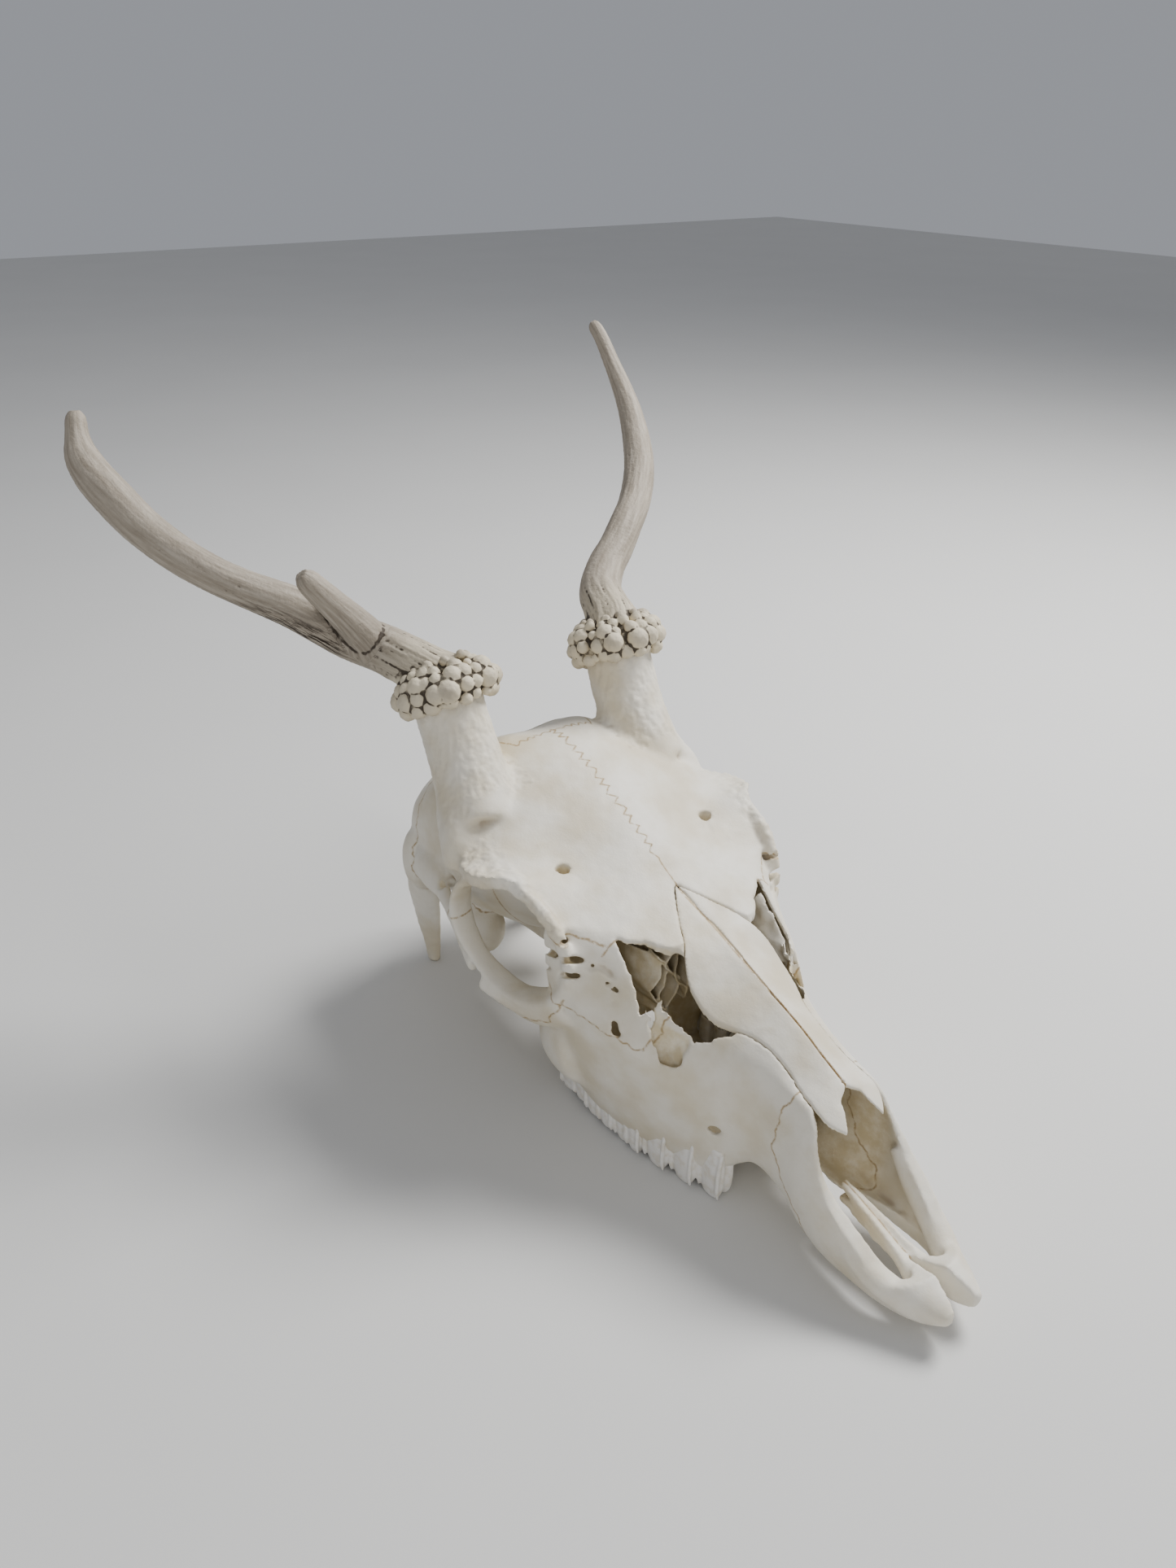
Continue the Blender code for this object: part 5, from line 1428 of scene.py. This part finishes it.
class DEERSKULL_OT_nasals(bpy.types.Operator):
    """Lay the two nasal bones along the roof of the face"""
    bl_idname = "deerskull.nasals"
    bl_label = "Nasal bones"

    def execute(self, context):
        material = shared("bleached_bone", bone_material)
        for side in (1, -1):
            node = "nasal_left" if side > 0 else "nasal_right"
            bone = nasal_bone(side)
            bone.name = node + "_bone"
            undulate(bone)
            mesh = bone.data
            low = np.array([v.normal.z < -0.2 for v in mesh.vertices], np.float32)
            set_attribute(mesh, "inner", low)
            co = places(mesh)
            set_attribute(mesh, "suture", np.clip(1.3 - np.abs(co[:, 1]) * 1.6, 0, 1) * (co[:, 0] < 212))
            finish_piece(bone, material, [node])
        return {"FINISHED"}


class DEERSKULL_OT_ethmoid(bpy.types.Operator):
    """Fold the thin scroll bones at the back of the nose"""
    bl_idname = "deerskull.ethmoid"
    bl_label = "Scroll bones"

    def execute(self, context):
        bone = scrolls()
        set_attribute(bone.data, "inner", np.ones(len(bone.data.vertices)))
        finish_piece(bone, shared("bleached_bone", bone_material), ["ethmoid"], sharp=0)
        return {"FINISHED"}


class DEERSKULL_OT_teeth(bpy.types.Operator):
    """Set six cheek teeth in each side of the jaw"""
    bl_idname = "deerskull.teeth"
    bl_label = "Cheek teeth"

    def execute(self, context):
        material = shared("tooth_enamel", enamel_material)
        for side in (1, -1):
            row = teeth_row(side)
            finish_piece(row, material, [], sharp=0)
        return {"FINISHED"}


class DEERSKULL_OT_antlers(bpy.types.Operator):
    """Grow both antlers with their pearled burrs"""
    bl_idname = "deerskull.antlers"
    bl_label = "Antlers"

    def execute(self, context):
        material = shared("weathered_antler", antler_material)
        looks = context.scene.deer_skull
        for side, nodes in ((1, ["antler_left_beam"]), (-1, ["antler_right_beam", "antler_right_brow_tine"])):
            finish_piece(antler(side, looks), material, nodes, sharp=0, rounds=3)
        return {"FINISHED"}


class DEERSKULL_OT_stage(bpy.types.Operator):
    """Pale floor, soft light and the camera"""
    bl_idname = "deerskull.stage"
    bl_label = "Stage"

    def execute(self, context):
        scene = context.scene
        bm = bmesh.new()
        bmesh.ops.create_grid(bm, x_segments=1, y_segments=1, size=3.0)
        floor = new_object("floor", bm)
        floor.data.materials.append(floor_material(scene.deer_skull))
        for name, place, size, watts in LIGHTS:
            lamp = bpy.data.lights.new(name, "AREA")
            lamp.size = size
            lamp.energy = watts
            obj = bpy.data.objects.new(name, lamp)
            obj.location = place
            obj.rotation_euler = (Vector((0, 0, 0.08)) - Vector(place)).to_track_quat("-Z", "Y").to_euler()
            scene.collection.objects.link(obj)
        world = bpy.data.worlds.new("studio")
        world.use_nodes = True
        sky = world.node_tree.nodes["Background"]
        sky.inputs["Color"].default_value = (0.9, 0.93, 1.0, 1.0)
        sky.inputs["Strength"].default_value = 0.32
        scene.world = world
        scene.view_settings.look = "AgX - Medium High Contrast"
        lens = bpy.data.cameras.new("camera")
        lens.sensor_width = SENSOR
        lens.lens = FOCAL_PIXELS / IMAGE_HEIGHT * SENSOR
        lens.clip_start = 0.01
        camera = bpy.data.objects.new("camera", lens)
        turn = Matrix((CAMERA_RIGHT, -CAMERA_DOWN, -CAMERA_FORWARD)).transposed().to_4x4()
        camera.matrix_world = Matrix.Translation(at(*CAMERA_PLACE)) @ turn
        scene.collection.objects.link(camera)
        scene.camera = camera
        return {"FINISHED"}


STEPS = (DEERSKULL_OT_bones, DEERSKULL_OT_nasals, DEERSKULL_OT_ethmoid, DEERSKULL_OT_teeth,
         DEERSKULL_OT_antlers, DEERSKULL_OT_stage)


class DEERSKULL_PT_panel(bpy.types.Panel):
    """Settings and steps of the deer skull"""
    bl_idname = "DEERSKULL_PT_panel"
    bl_label = "Deer skull"
    bl_space_type = "VIEW_3D"
    bl_region_type = "UI"
    bl_category = "Deer skull"

    def draw(self, context):
        for name in DeerSkullSettings.__annotations__:
            self.layout.prop(context.scene.deer_skull, name)
        for step in STEPS:
            self.layout.operator(step.bl_idname)


CLASSES = (DeerSkullSettings,) + STEPS + (DEERSKULL_PT_panel,)


def register():
    """Add the settings, the operators and the panel."""
    for cls in CLASSES:
        bpy.utils.register_class(cls)
    bpy.types.Scene.deer_skull = bpy.props.PointerProperty(type=DeerSkullSettings)


def unregister():
    """Take them away again."""
    del bpy.types.Scene.deer_skull
    for cls in reversed(CLASSES):
        bpy.utils.unregister_class(cls)


def main():
    """Build everything in order."""
    register()
    bpy.ops.deerskull.bones()
    bpy.ops.deerskull.nasals()
    bpy.ops.deerskull.ethmoid()
    bpy.ops.deerskull.teeth()
    bpy.ops.deerskull.antlers()
    bpy.ops.deerskull.stage()


if __name__ == "__main__":
    main()
